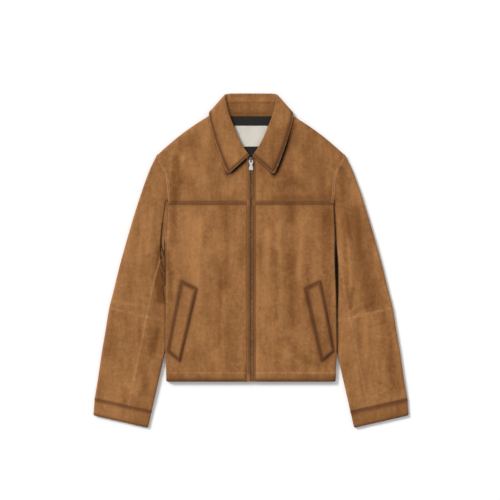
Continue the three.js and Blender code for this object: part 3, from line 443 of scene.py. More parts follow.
# %% [markdown]
# ## Heights
#
# Laid out, the front lies on the back, and the sleeves pass below the body at its sides, so the
# body is lifted there and the sleeves are flatter. A cloth simulation could find these heights, but
# it would never give the same creases twice. Each height is a function of the plan instead, that of
# the outer face above the table.

# %% Height of the body
fold_y, fold_x = np.array(BODY_FOLD).T
CREASE_DEPTH, CREASE_PAINTED_SHADE = 1.5, 0.32


def body_edge(y):
    return np.interp(y, fold_y, fold_x)


def front_top(x, y, creased=True):
    """Height of the front's outer face, with or without its small creases."""
    flat = lerp(SHOULDER_HIGH, FRONT_HIGH, ease((200 - y) / 150)) - troughs(BODY_FOLDS, x, y)
    return flat - (CREASE_DEPTH * troughs(BODY_CREASES, x, y) if creased else 0)


print("front above the table at the zip, mm:", float(front_top(0.0, 0.0, False)))

# %% Lift over the sleeves and the collar


def tuck_lift(x, y):
    """How far the body is lifted where a sleeve passes below its side."""
    inner_sleeve = 248 - 0.228 * (y + 402)
    over_sleeve = ease((np.abs(x) - inner_sleeve + 45) / 30)
    return (TUCK_HIGH + TUCK_CLEAR) * over_sleeve * ease((y - HEM_Y - 8) / 70)


def collar_lift(x, y):
    """How far the back is lifted where the collar's fall lies below it."""
    return 2.75 * ease((y - 150) / 115) * ease((150 - np.abs(x)) / 42)


print("lift over the sleeve at the side, mm:", round(float(tuck_lift(190.0, -40.0)), 2))

# %% Height of the sleeves


def side_seam_x(y):
    return lerp(HEM_SEAM_X, UNDERARM[0], (y - HEM_Y) / (UNDERARM[1] - HEM_Y))


def clear_of_body(x, y):
    """Distance outside the fold at the body's side."""
    above = np.hypot(np.maximum(0, x - body_edge(YOKE_Y)), y - YOKE_Y)
    return np.where(y <= YOKE_Y, np.maximum(0, x - body_edge(y)), above)


UPPER_RUN, FORE_RUN = 330.0, 219.0


def sleeve_top(side, x, y, from_armhole):
    own = SLEEVE_HIGH - troughs(SLEEVE_FOLDS, side * x, y)
    own = lerp(front_top(side * x, y, False), own, ease(from_armhole / 60))
    reach = lerp(8, 44, ease(from_armhole / 90))
    tucked = 1 - ease((clear_of_body(x, y) - 3.5) / reach)
    own = own - (own - TUCK_HIGH) * tucked * ease((y + 250) / 60)
    creases = CREASE_DEPTH * troughs(SLEEVE_CREASES, side * x, y)
    own = own - creases * (1 - tucked) * ease(from_armhole / 25)
    (x0, y0), (x1, y1) = CUFF_SEAM
    return lerp(own, CUFF_HIGH, 1 - ease(from_segment(x, y, x0, y0, x1, y1) / 30))


print("right forearm above the table, mm:", round(float(sleeve_top(1, 300.0, -200.0, UPPER_RUN)), 2))

# %% [markdown]
# ## Cloth walls
#
# Suede is about two millimetres thick with its lining, and its cut edges show. A Solidify modifier
# could thicken a single face, but it can't add relief to the outer face alone. So a piece is a grid
# of points on its outer face, its second face lies one wall below, and narrow faces close the
# edges. The relief rounds the edges, raises the seam allowances that lie below a topstitched seam
# and sinks the rows of stitches.

# %% Normals and faces of a wall


def grid_normals(grid, around=False):
    """Unit normals of a grid of points. around joins its last column to its first."""
    along = np.gradient(grid, axis=0)
    if around:
        across = np.roll(grid, -1, axis=1) - np.roll(grid, 1, axis=1)
    else:
        across = np.gradient(grid, axis=1)
    normal = np.cross(along, across)
    return normal / np.maximum(np.linalg.norm(normal, axis=-1, keepdims=True), 1e-9)


def quads(rows, cols, around):
    """The faces of a wall: its outer face, its inner face, and the strips that close its edges."""
    i, j = np.meshgrid(np.arange(rows - 1), np.arange(cols if around else cols - 1), indexing="ij")
    k = (j + 1) % cols
    size = rows * cols
    a, b, c, d = i * cols + j, (i + 1) * cols + j, (i + 1) * cols + k, i * cols + k
    faces = [np.stack([a, b, c, d], -1).reshape(-1, 4),
             size + np.stack([a, d, c, b], -1).reshape(-1, 4)]
    j = np.arange(cols if around else cols - 1)
    k = (j + 1) % cols
    last = (rows - 1) * cols
    faces.append(np.stack([j, k, size + k, size + j], -1))
    faces.append(np.stack([last + j, size + last + j, size + last + k, last + k], -1))
    if not around:
        i = np.arange(rows - 1) * cols
        m = i + cols - 1
        faces.append(np.stack([i, size + i, size + i + cols, i + cols], -1))
        faces.append(np.stack([m, m + cols, size + m + cols, size + m], -1))
    return np.vstack(faces)


print("faces of a wall from a 4 by 5 grid:", len(quads(4, 5, False)))

# %% Mesh of a piece


def new_piece(name, points, faces, marks):
    """A mesh object from points in millimetres, with its faces out, and its float attributes."""
    p = np.asarray(points, float) * MM
    f = np.asarray(faces)
    a, b, c, d = (p[f[:, k]] for k in range(4))
    volume = (a * np.cross(b, c)).sum() + (a * np.cross(c, d)).sum()
    if volume < 0:
        f = f[:, ::-1]
    mesh = bpy.data.meshes.new(name)
    mesh.from_pydata(p.tolist(), [], f.tolist())
    mesh.shade_smooth()
    mesh.set_sharp_from_angle(angle=math.radians(60))
    for key, values in marks.items():
        layer = mesh.attributes.new(key, "FLOAT", "POINT")
        layer.data.foreach_set("value", values.astype(np.float32))
    piece = bpy.data.objects.new(name, mesh)
    bpy.context.scene.collection.objects.link(piece)
    return piece


print("materials read each piece's marks: burnish, worn, shade, deep")

# %% Closed wall of cloth


def cloth(name, grid, wall=WALL, up=1, relief=0.0, around=False, burnish_and_shade=0.0, wear_and_highlight=0.0, shade=0.0,
          painted_shadow=0.0):
    """A closed wall of cloth. up is 1 where the grid's own normal points outwards, or else -1."""
    rows, cols = grid.shape[:2]
    out = grid_normals(grid, around) * up
    relief = np.broadcast_to(relief, (rows, cols))
    outer = grid + out * relief[..., None]
    outer[..., 2] = np.maximum(outer[..., 2], 0.0)  # the table presses the underside flat
    inner = grid - out * wall
    points = np.concatenate([outer.reshape(-1, 3), inner.reshape(-1, 3)])
    marks = {}
    x, y = grid[..., 0], grid[..., 1]
    # Painted shade and painted light: the table's patches, and each small crease darker in its trough
    # and lighter on its ridge.
    shade = shade + troughs(PAINTED_SHADES, x, y)
    shade = shade + CREASE_PAINTED_SHADE * troughs(BODY_CREASES + SLEEVE_CREASES, x, y)
    for key, value in (("burnish_and_shade", burnish_and_shade), ("wear_and_highlight", wear_and_highlight), ("shade", shade), ("painted_shadow", painted_shadow)):
        value = np.broadcast_to(value, (rows, cols)).ravel()
        marks[key] = np.concatenate([value, value])
    return new_piece(name, points, quads(rows, cols, around), marks)


pieces = {}
print("a wall's own shading adds", CREASE_PAINTED_SHADE, "of each small crease's depth")

# %% [markdown]
# ## Edges, seams and burnish
#
# A suede edge is turned over and rounded, a seam has a raised allowance with a groove where the
# thread pulls in, and both are rubbed darker by handling. These could be painted in an image. Here
# each is a short profile across the edge, a function of the distance from it, so that the same
# profile serves every seam at any curve.

# %% Profiles across an edge


def rounded(d, radius=1.3):
    """The relief of an edge turned over by its radius, at a distance d from it."""
    return -radius * (1 - round_edge(d, radius))


def topstitched(d, row, high=0.5):
    """A raised allowance from the edge to its row of stitches, and the groove they pull in."""
    return high * (1 - ease((d - row) / 2.4)) - 0.5 * np.exp(-(((d - row) / 0.9) ** 2))


def band(d, width, soft=0.35):
    """1 within a distance of the edge, falling softly to 0 past it."""
    return 1 - ease((d - width * (1 - soft)) / (2 * width * soft))


def line(d, place, half):
    """A soft line at a place from the edge: 1 in its middle, and faint beyond its half width."""
    return np.exp(-(((d - place) / half) ** 2))


SEAM_ROW = (3.4, 5.2)
HEM_ROW, LEAF_ROW, TUBE_BEND = 21.6, 5.5, 6.25


def seam_burnish(d, row):
    """Burnish beside the yoke seam: full up to its row of stitches, with a soft end past it."""
    full = 0.62 * band(d, row + 0.8, 0.3) + 0.35 * line(d, row, 1.1)
    return np.maximum(full, 0.45 * line(d, 0, row + 6.0))


print("rows of stitches below and above the yoke seam, mm:", SEAM_ROW)

# %% [markdown]
# ## Front panels
#
# Each front panel runs from the yoke seam to the hem, round the side fold and under to the side
# seam, which lies on the back. It could be two pieces that meet at the fold, but the garment has no
# seam there, so it is one grid: rows across from the zip, turned over a half circle at the side,
# and back below. The cloth is burnished beside the yoke seam, the hem and the zip, and darker round
# the pocket welt.

# %% Distance from the pocket welt


def from_welt(x, y):
    """Distance outside the outline of the pocket welt."""
    corners = np.array(WELT)
    inside = np.ones(np.broadcast(x, y).shape, bool)
    nearest = np.full(inside.shape, 1e9)
    for (x0, y0), (x1, y1) in zip(corners, np.roll(corners, -1, axis=0)):
        nearest = np.minimum(nearest, from_segment(x, y, x0, y0, x1, y1))
        inside &= (x1 - x0) * (y - y0) - (y1 - y0) * (x - x0) > 0
    return np.where(inside, 0, nearest)


print("middle of the front to the welt, mm:", round(float(from_welt(100.0, -100.0)), 1))

# %% Front panel
FRONT_WIDTH = 186.0
UNDERARM_Y, UNDERARM_X = [78, 92, 108, 124, 137.3], [139, 156, 172, 186, 198]


def front_panel(side):
    rows = YOKE_Y - 0.12 - graded(YOKE_Y - HEM_Y - 0.12)
    top = graded(FRONT_WIDTH, end=False) / FRONT_WIDTH
    turns = np.radians(np.linspace(90, -90, 11)[1:-1])
    under = np.linspace(0, 1, 15)
    grid, d_zip = [], []
    for y in rows:
        edge = body_edge(y)
        low, high = tuck_lift(edge, y), front_top(side * (edge - 6), y, False)
        radius = (high - low) / 2
        start = PANEL_IN + 0.1
        x_top = start + top * (edge - radius - start)
        x_fold = edge - radius + radius * np.cos(turns)
        under_arm = np.interp(y, UNDERARM_Y, UNDERARM_X)
        seam = under_arm if y > UNDERARM_Y[0] else side_seam_x(y)
        x_under = lerp(edge - radius, min(seam, edge - radius - 7), under)
        middle = (high + low) / 2
        z_fold = np.where(turns > 0, lerp(middle, front_top(side * x_fold, y), np.sin(turns)),
                          lerp(middle, low, -np.sin(turns)))
        x = np.concatenate([x_top, x_fold, x_under])
        z = np.concatenate([front_top(side * x_top, y), z_fold, tuck_lift(x_under, y)])
        grid.append(np.stack([side * x, np.full_like(x, y), z], -1))
        d_zip.append(np.concatenate([x_top - start, np.full(len(x) - len(x_top), 300.0)]))
    grid, d_zip = np.array(grid), np.array(d_zip)
    y = grid[..., 1]
    d_yoke, d_hem = YOKE_Y - y, y - HEM_Y
    on_top = np.arange(grid.shape[1]) < len(top) + 5
    relief = np.minimum(rounded(d_zip, 0.3), np.minimum(rounded(d_yoke), rounded(d_hem, 1.9)))
    relief = relief + topstitched(d_yoke, SEAM_ROW[0]) + topstitched(d_hem, HEM_ROW, 0.35)
    d_welt = np.where(on_top, from_welt(np.abs(grid[..., 0]), y), 99)
    relief = relief - 0.5 * line(d_welt, 3.2, 2.2) * (d_welt > 0)
    burnish_and_shade = np.maximum.reduce([
        seam_burnish(d_yoke, SEAM_ROW[0]), 0.4 * line(d_hem, 0, 16.0) + 0.75 * line(d_hem, 0, 7.0),
        (1.0 * line(d_welt, 0, 2.6) + 0.6 * line(d_welt, 0, 9.0)) * on_top,
        0.4 * band(d_zip, 2.4, 0.9)])
    if side < 0:
        burnish_and_shade = np.maximum(burnish_and_shade, 0.75 * band(d_zip, 7.0, 0.8) * ease((-220 - y) / 50))
    wear_and_highlight = 0.5 * line(d_hem, HEM_ROW, 1.4) * on_top
    in_fold = np.arange(grid.shape[1]) >= len(top)
    # Painted shadow down the fold at the right side, beside the gap to the sleeve.
    painted_shadow = 1.1 * (side > 0) * line(grid[..., 0], body_edge(y) - 0.3, 3.6) * line(y, -8, 62) * in_fold
    return cloth(f"front_panel_{'left' if side < 0 else 'right'}_cloth", grid, up=side, relief=relief,
                 burnish_and_shade=burnish_and_shade, wear_and_highlight=wear_and_highlight, painted_shadow=painted_shadow)


for name, side in (("left", -1), ("right", 1)):
    pieces[f"front_panel_{name}"] = front_panel(side)
    print(name, "panel faces", len(pieces[f"front_panel_{name}"].data.polygons))

# %% [markdown]
# ## Yokes
#
# The yoke covers the chest and the shoulder. It has five sides: the yoke seam, the armhole, the
# shoulder, the neckline and the zip. Filling such an outline with triangles would leave no rows to
# put relief on, so it is a four-sided patch whose one side is the zip and the neckline together.
# The patch blends its four edges, as a fitted piece does. Its armhole edge carries the raised,
# topstitched allowance that the sleeve is set into.

# %% Four-sided patch


def patch(region, s, t):
    """Points at shares s along row t of a four-sided outline, blended from its four edges."""
    ends = np.array([0.0, 1.0])
    first, last = region["first"](s), region["last"](s)
    start, end = region["start"](t), region["end"](t)
    (f0, f1), (l0, l1) = region["first"](ends), region["last"](ends)
    s = np.asarray(s)[:, None]
    return lerp(first, last, t) + lerp(start, end, s) - lerp(lerp(f0, f1, s), lerp(l0, l1, s), t)


def straight(a, b):
    """A straight edge from a to b, asked for by share."""
    return lambda s: lerp(np.array(a), np.array(b), np.asarray(s)[..., None])


print("middle of a straight edge:", straight((0, 0), (2, 4))(0.5))

# %% Outline of the yoke
LEAF_FRONT = (3.2, 252.5, 55.2, 206.2)
LEAF_SIDE = [(57.0, 208.0), (71.8, 243.5), (88.1, 290.9), (100.2, 334.0), (101.5, 347.5)]
bend = armhole.share_at_y(YOKE_Y)
strip = ZIP_TOP_Y - 2 - YOKE_Y
YOKE = {
    "first": straight((PANEL_IN, YOKE_Y), (198.0, YOKE_Y)),
    "last": shoulder.at,
    "start": lambda t: (np.array([PANEL_IN, YOKE_Y + t * (strip + neckline.length)])
                        if t * (strip + neckline.length) < strip
                        else neckline.at((t * (strip + neckline.length) - strip) / neckline.length)),
    "end": lambda t: armhole.at((1 - t) * bend),
}
print("share of the armhole on the front:", round(bend, 3))

# %% Yoke
YOKE_WIDTH = 190.0


def front_yoke(side):
    run = bend * armhole.length
    t_rows = graded(run, 2.6, end=False) / run
    tip = (1 - np.cos(np.radians(np.arange(90, -1, -10)))) * TUBE_BEND / run
    t_rows = np.concatenate([t_rows[t_rows < 1 - TUBE_BEND / run], 1 - tip])
    s_cols = graded(YOKE_WIDTH) / YOKE_WIDTH
    plan = np.array([patch(YOKE, s_cols, t) for t in t_rows])
    x, y = plan[..., 0], plan[..., 1]
    from_tip = ((1 - t_rows) * run)[:, None]
    rounding = round_edge(from_tip, TUBE_BEND)
    z = lerp(collar_lift(x, y) / 2 + TUBE_BEND, front_top(side * x, y), rounding)
    grid = np.stack([side * x, y, z], -1)
    d_yoke = (y - YOKE_Y) + 0 * x
    d_arm = ((1 - s_cols) * YOKE_WIDTH)[None, :] + 0 * x
    d_zip = np.where(y < ZIP_TOP_Y - 2, np.abs(x) - PANEL_IN, 30)
    relief = np.minimum(np.minimum(rounded(d_yoke), rounded(d_arm, 0.9)), rounded(d_zip, 0.3))
    relief = relief + topstitched(d_yoke, SEAM_ROW[1]) + topstitched(d_arm, 5.5, 0.8)
    burnish_and_shade = np.maximum(seam_burnish(d_yoke, SEAM_ROW[1]), 0.4 * band(d_zip, 2.4, 0.9))
    wear_and_highlight = 0.65 * line(d_arm, 5.5, 1.4) + 0.8 * line(d_arm, 0.8, 1.4)
    # Painted shadow that the collar's leaves cast on the yoke: below the left leaf's front edge and
    # beside the right leaf's outer edge, fainter at the leaf's point.
    below_front = from_segment(x, y, *LEAF_FRONT)
    beside_leaf = np.min([from_segment(x, y, *a, *b)
                          for a, b in zip(LEAF_SIDE, LEAF_SIDE[1:])], axis=0)
    from_point = 0.4 + 0.6 * ease((np.hypot(x - LEAF_FRONT[2], y - LEAF_FRONT[3]) - 1) / 15)
    if side < 0:
        painted_shadow = 1.0 * line(below_front, 0, 9.0) * from_point + 0.3 * line(beside_leaf, 0, 3.5)
    else:
        painted_shadow = 1.0 * line(beside_leaf, 0, 8.5) * ease((352 - y) / 90) * from_point
        painted_shadow = painted_shadow + 0.45 * line(below_front, 0, 5.0)
    return cloth(f"front_yoke_{'left' if side < 0 else 'right'}_cloth", grid, up=-side, relief=relief,
                 burnish_and_shade=burnish_and_shade, wear_and_highlight=wear_and_highlight, painted_shadow=painted_shadow)


for name, side in (("left", -1), ("right", 1)):
    pieces[f"front_yoke_{name}"] = front_yoke(side)
    print(name, "yoke faces", len(pieces[f"front_yoke_{name}"].data.polygons))

# %% [markdown]
# ## Back panel
#
# The back is one piece, and the jacket lies on it. It isn't flat all over: it rises over the
# sleeves that pass below it and over the collar's fall, and curls up at the shoulders to meet the
# yokes. A flat sheet with a lattice could be pushed into this form, but a grid whose height comes
# from the same functions as the front is sure to stay below it.

# %% Back panel


def back_panel():
    tip = np.array(ARMHOLE[0])
    seam = UNDERARM[1] - HEM_Y
    total = seam + armhole.length
    up_the_armhole = seam + graded(armhole.length, 5, start=False)[1:]
    runs = np.concatenate([graded(seam, 6, end=False), up_the_armhole])
    ends, from_tip = [], []
    for run in runs:
        if run <= seam:
            y = HEM_Y + run
            ends.append((side_seam_x(y), y))
            from_tip.append(1e3)
        else:
            share = 1 - (run - seam) / armhole.length
            ends.append(armhole.at(share))
            from_tip.append(share * armhole.length)
    ends, t, curl = np.array(ends), runs / total, 1 - round_edge(np.array(from_tip), TUBE_BEND)
    neck = NECK_POINT[0] / tip[0]
    u = np.unique(np.concatenate([np.linspace(-1, 1, 73), [-neck, neck]]))
    shoulders = np.array(SHOULDER)
    from_middle = np.abs(u) * tip[0]
    shoulder_y = np.interp(from_middle, shoulders[:, 0], shoulders[:, 1])
    neck_y = lerp(BACK_NECK_Y, NECK_POINT[1], np.minimum(1, from_middle / NECK_POINT[0]) ** 2.4)
    top = np.where(from_middle > NECK_POINT[0], shoulder_y, neck_y)
    x = u[None, :] * ends[:, :1]
    y = ends[:, 1:] + t[:, None] ** 3 * (top - tip[1])[None, :]
    low = tuck_lift(x, y) * ease((UNDERARM[1] + 12 - y) / 30) + collar_lift(x, y)
    beside = ease((np.abs(u) - neck) / 0.08)[None, :]
    z = low + curl[:, None] * beside * (TUBE_BEND - low / 2)
    d_hem = y - HEM_Y
    return cloth("back_panel_cloth", np.stack([x, y, z], -1), up=1, relief=rounded(d_hem, 1.9),
                 burnish_and_shade=0.6 * band(d_hem, 9.0, 0.8))


pieces["back_panel"] = back_panel()
print("back panel faces", len(pieces["back_panel"].data.polygons))

# %% [markdown]
# ## Sleeves
#
# A two-piece sleeve has an outer and an inner panel, and this one is cut again at the elbow. The
# front seam runs down the front of the arm and the hind seam lies below, so neither the outer fold
# nor the inner one has a seam. A tube could be squashed flat and then cut, but its seams would
# slide. Here every row runs from the front seam over a fold to the hind seam, as a share of the
# sleeve's width, so the seams stay on their lines.

# %% Outlines of the sleeve
elbow_share = sleeve_outer.share_at_y(ELBOW[0][1])
UPPER_ARM = {
    "name": "upper", "run": UPPER_RUN, "first": armhole.at, "last": straight(*ELBOW),
    "start": lambda t: sleeve_outer.at(t * elbow_share), "end": straight(UNDERARM, ELBOW[1]),
    "from_armhole": lambda t: t * UPPER_RUN,
}
FOREARM = {
    "name": "lower", "run": FORE_RUN, "first": straight(*ELBOW), "last": straight(*CUFF_SEAM),
    "start": lambda t: sleeve_outer.at(lerp(elbow_share, 1, t)),
    "end": straight(ELBOW[1], CUFF_SEAM[1]),
    "from_armhole": lambda t: UPPER_RUN,
}
FRONT_SEAM = {-1: {"upper": (0.685, 0.60), "lower": (0.60, 0.60)},
              1: {"upper": (0.685, 0.70), "lower": (0.70, 0.70)}}
HIND_SEAM_AT_ARMHOLE, HIND_SEAM_PART = 0.189, 0.25
SLEEVE_ROW, ELBOW_ROW = 2.4, 3.0
QUARTER = 1 - np.cos(np.radians(np.arange(0, 91, 11.25)))
print("elbow, as a share of the outer fold:", round(elbow_share, 3))

# %% Row of a sleeve


def sleeve_point(region, side, s, t, over):
    """Points of one row of a sleeve: on its top where over is true, and below it elsewhere."""
    outer, inner = region["start"](t), region["end"](t)
    width = float(np.linalg.norm(outer - inner))
    run = lerp(armhole.length, width, float(ease(t / 0.04))) if region is UPPER_ARM else width
    p = patch(region, s, t)
    from_armhole = region["from_armhole"](t)
    top = sleeve_top(side, p[:, 0], p[:, 1], from_armhole)
    outer_top = sleeve_top(side, outer[0], outer[1], from_armhole)
    inner_top = sleeve_top(side, inner[0], inner[1], from_armhole)
    middle = np.where(s < 0.5, outer_top, inner_top) / 2
    bend_round = np.minimum(round_edge(s * run, TUBE_BEND), round_edge((1 - s) * run, inner_top / 2))
    z = np.where(over, lerp(middle, top, bend_round), lerp(middle, 0, bend_round))
    return np.column_stack([side * p[:, 0], p[:, 1], z])


elbow_middle = sleeve_point(UPPER_ARM, 1, np.array([0.5]), 1.0, np.array([True]))
print("middle of the elbow, mm:", elbow_middle.round(1))

# %% Places of a row's points


def sleeve_places(width, seam, hind, outward):
    """Shares of the width from the front seam over a fold to the hind seam, and which lie on top."""
    if outward:
        bend_share = TUBE_BEND / width
        over = seam - FINE / width
        over = np.concatenate([over, np.linspace(over[-1], bend_share, 34)[1:-1],
                               (QUARTER * bend_share)[::-1]])
        below = np.concatenate([(QUARTER * bend_share)[1:], np.linspace(bend_share, hind, 10)[1:]])
    else:
        tuck = TUCK_HIGH / 2 / width
        over = seam + FINE / width
        over = np.concatenate([over, np.linspace(over[-1], 1 - tuck, 18)[1:-1],
                               1 - (QUARTER * tuck)[::-1]])
        below = np.concatenate([1 - (QUARTER * tuck)[1:], np.linspace(1 - tuck, hind, 26)[1:]])
    places = np.concatenate([over, below])
    return places, np.arange(len(places)) < len(over)


print("points across an outer sleeve panel:", len(sleeve_places(150.0, 0.6, 0.2, True)[0]))

# %% Sleeve panel


def sleeve_panel(region, side, outward):
    t_rows = graded(region["run"], 3.2) / region["run"]
    front = FRONT_SEAM[side][region["name"]]
    grid, d_front = [], []
    for t in t_rows:
        outer, inner = region["start"](t), region["end"](t)
        width = float(np.linalg.norm(outer - inner))
        seam = lerp(front[0], front[1], float(ease(t)))
        hind = lerp(TUBE_BEND / width, seam, HIND_SEAM_PART)
        if region is UPPER_ARM:
            hind = lerp(HIND_SEAM_AT_ARMHOLE, hind, float(ease(t / 0.05)))
        s, is_over = sleeve_places(width, seam, hind, outward)
        grid.append(sleeve_point(region, side, s, t, is_over))
        d_front.append(np.where(is_over, np.abs(s - seam) * width, 99))
    grid, d_front = np.array(grid), np.array(d_front)
    d_first = (t_rows * region["run"])[:, None] + 0 * d_front
    d_last = ((1 - t_rows) * region["run"])[:, None] + 0 * d_front
    ends = np.minimum(rounded(d_first, 0.6), rounded(d_last, 0.6))
    relief = np.minimum(ends, rounded(d_front, 0.5))
    wear_and_highlight = (0.7 if side < 0 else 0.5) * line(d_front, 0.9, 1.3)
    # Painted shade on the sleeve beside the body's edge, where the body overhangs it, and painted
    # shadow in the gap between them.
    beside = clear_of_body(np.abs(grid[..., 0]), grid[..., 1])
    burnish_and_shade = (0.95 if side > 0 else 0.4) * line(beside, 0.0, 4.5) * (grid[..., 1] > -235)
    painted_shadow = deepest(PAINTED_GAP_SHADOWS, grid[..., 0], grid[..., 1])
    if side > 0:
        gap_y, gap_x, gap_half, gap_dark = np.array(RIGHT_PAINTED_GAP).T
        x, y = grid[..., 0], grid[..., 1]
        middle, half = np.interp(y, gap_y, gap_x), np.interp(y, gap_y, gap_half)
        painted_shadow = np.interp(y, gap_y, gap_dark) * line(x, middle, half)
    in_sight = grid[..., 2] > 3.0
    burnish_and_shade, painted_shadow = burnish_and_shade * in_sight, painted_shadow * in_sight
    if region is UPPER_ARM:
        relief = relief + topstitched(d_last, ELBOW_ROW, 0.3) - 0.3 * line(d_first, 1.5, 3.0)
        wear_and_highlight = wear_and_highlight + 0.6 * line(d_last, 0.9, 1.3)
    else:
        relief = relief + topstitched(d_first, ELBOW_ROW, 0.3)
        wear_and_highlight = wear_and_highlight + 0.6 * line(d_first, 0.9, 1.3)
        burnish_and_shade = np.maximum(burnish_and_shade, 0.5 * line(d_last, 0, 5.0))
    face = "outer" if outward else "inner"
    return cloth(f"sleeve_{region['name']}_{face}_{'left' if side < 0 else 'right'}_cloth", grid,
                 up=side if outward else -side, relief=relief, burnish_and_shade=burnish_and_shade, wear_and_highlight=wear_and_highlight, painted_shadow=painted_shadow)


for name, side in (("left", -1), ("right", 1)):
    for region in (UPPER_ARM, FOREARM):
        pieces[f"sleeve_{region['name']}_outer_{name}"] = sleeve_panel(region, side, True)
        pieces[f"sleeve_{region['name']}_inner_{name}"] = sleeve_panel(region, side, False)
    print(name, "sleeve pieces:", [key for key in pieces if "sleeve" in key and name in key])

# %% [markdown]
# ## Cuffs
#
# A cuff is a flattened tube of doubled suede, so its wall is thicker and its edge rounder than the
# sleeve's. A flattened cylinder would round its two folds too widely. The ring of each row is drawn
# here instead: straight above and below, and a half circle at each fold. A burnished band and a row
# of stitches lie beside its seam.

# %% Cuffs
CUFF_DEPTH, CUFF_ROWS = 41.0, (7.0, 35.5)


def cuff(side):
    t_rows = graded(CUFF_DEPTH, 2.6) / CUFF_DEPTH
    edge = CUFF_HIGH / 2
    grid = []
    for t in t_rows:
        outer = lerp(np.array(CUFF_SEAM[0]), np.array(CUFF_EDGE[0]), t)
        inner = lerp(np.array(CUFF_SEAM[1]), np.array(CUFF_EDGE[1]), t)
        width = float(np.linalg.norm(outer - inner))
        s = np.concatenate([QUARTER * edge / width,
                            np.linspace(edge / width, 1 - edge / width, 40)[1:-1],
                            1 - (QUARTER * edge / width)[::-1]])
        turn = np.minimum(round_edge(s * width, edge), round_edge((1 - s) * width, edge))
        p = outer + (inner - outer) * s[:, None]
        soft = 0.5 * np.sin(p[:, 0] * 0.11 + 1.3 * side) * np.sin(p[:, 1] * 0.05) * (turn > 0.99)
        upper = np.column_stack([side * p[:, 0], p[:, 1], edge + edge * turn + soft])
        lower = np.column_stack([side * p[:, 0], p[:, 1], edge - edge * turn])
        grid.append(np.concatenate([upper, lower[1:-1][::-1]]))
    grid = np.array(grid)
    d_seam = (t_rows * CUFF_DEPTH)[:, None] + 0 * grid[..., 0]
    d_edge = CUFF_DEPTH - d_seam
    relief = np.minimum(rounded(d_seam), rounded(d_edge, 2.2))
    relief = relief + topstitched(d_seam, CUFF_ROWS[0], 0.45)
    reach = 8.0 if side < 0 else 11.0
    edge_burnish = 0.35 * line(d_edge, 0, 14.0) + 0.6 * line(d_edge, 0, 5.0)
    burnish_and_shade = np.maximum(0.85 * band(d_seam, reach, 0.8), edge_burnish)
    wear_and_highlight = 0.35 * line(d_edge, 1.2, 1.0)
    # The right cuff is darkened as painted shade, like the right sleeve above it.
    return cloth(f"cuff_{'left' if side < 0 else 'right'}_cloth", grid, CUFF_WALL, up=-side,
                 relief=relief, around=True, burnish_and_shade=burnish_and_shade, wear_and_highlight=wear_and_highlight,
                 shade=0.35 if side > 0 else 0.0)


for name, side in (("left", -1), ("right", 1)):
    pieces[f"cuff_{name}"] = cuff(side)
    print(name, "cuff faces", len(pieces[f"cuff_{name}"].data.polygons))

# %% [markdown]
# ## Collar
#
# The collar's leaf, roll and fall are one band of suede. When the jacket is pressed flat the band
# folds over a slanted line at each side of the neck, so that the leaf lies on the front and the
# fall behind. Bending a finished mesh with a modifier would stretch it at the fold. So the band is
# laid out flat first, and each of its points is then rolled over the fold line, which keeps its
# length as real cloth does.

# %% Sizes of the collar
FOLD = {"x": 62.5, "y": 399.5, "lean": math.radians(48.6), "radius": 8.0}
fold_at = np.array([FOLD["x"], FOLD["y"]])
fold_along = np.array([math.cos(FOLD["lean"]), -math.sin(FOLD["lean"])])
fold_out = np.array([-fold_along[1], fold_along[0]])
COLLAR_TOP_Y, STAND_SEAM_Y = 402.0, 381.3
LEAF_ROLL = [(3.2, 252.5), (13.2, 265.7), (24.0, 283.7), (33.6, 304.1), (41.3, 323.3),
             (49.0, 342.5), (55.2, 361.7), (59.4, 379.7)]
LEAF_EDGE = [(55.2, 206.2), (63.6, 222.5), (71.8, 243.5), (80.2, 266.9), (88.1, 290.9),
             (95.5, 316.1), (100.2, 334.0), (101.5, 347.5)]
FALL_ROLL = [(50.0, 402.0), (26.0, 402.0), (0.0, 402.0)]
FALL_EDGE = [(84.0, 360.0), (42.0, 354.0), (0.0, 352.0)]
PLACE_RUN, LEAF_RUN, CORNER = 22.0, 69.0, 7.0
print("lean of the fold line, degrees:", round(math.degrees(FOLD["lean"]), 1))

# %% Folding the band


def unfolded(p):
    """Where a point behind the fold line lies when the band is laid out flat."""
    a, b = (np.array(p) - fold_at) @ fold_out, (np.array(p) - fold_at) @ fold_along
    return fold_at + ((math.pi - 2) * FOLD["radius"] - a) * fold_out + b * fold_along


def folded(p, high, to_edge):
    """The flat band's points rolled over the fold line. high is their height above its face."""
    r = FOLD["radius"]
    a, b = (p - fold_at) @ fold_out, (p - fold_at) @ fold_along
    turn = np.clip((a + r) / r, 0, math.pi)
    reach = r + high
    away = ease((-a - 10) / 45) * lerp(2.4, 1.0, ease(to_edge))
    past_roll = np.where(turn < math.pi, reach * np.sin(turn) - r, (math.pi - 2) * r - a)
    across = np.where(a <= -r, a, past_roll)
    z = np.where(a <= -r, r + reach + away, np.where(turn < math.pi, r + reach * np.cos(turn), -high))
    plan = fold_at + across[:, None] * fold_out + b[:, None] * fold_along
    return np.column_stack([plan, z])


print("middle of the fall's edge, laid out flat, mm:", unfolded(FALL_EDGE[-1]).round(1))

# %% Rounded point of the leaf


def rounded_corner(share, place):
    """Shares across and places along the leaf, drawn in so that its point becomes round."""
    to_edge, to_front = CORNER - (1 - share) * LEAF_RUN, CORNER - place * PLACE_RUN + 0 * share
    inside = (to_edge > 0) & (to_front > 0)
    scale = np.where(inside, np.maximum(to_edge, to_front) / np.hypot(to_edge, to_front), 1.0)
    share = np.where(inside, 1 - (CORNER - to_edge * scale) / LEAF_RUN, share)
    return share, np.where(inside, (CORNER - to_front * scale) / PLACE_RUN, place)


drawn_in = rounded_corner(np.array([1.0]), 0.0)[0]
print("the leaf's very point moves in to:", [round(float(v), 3) for v in drawn_in])

# %% Collar


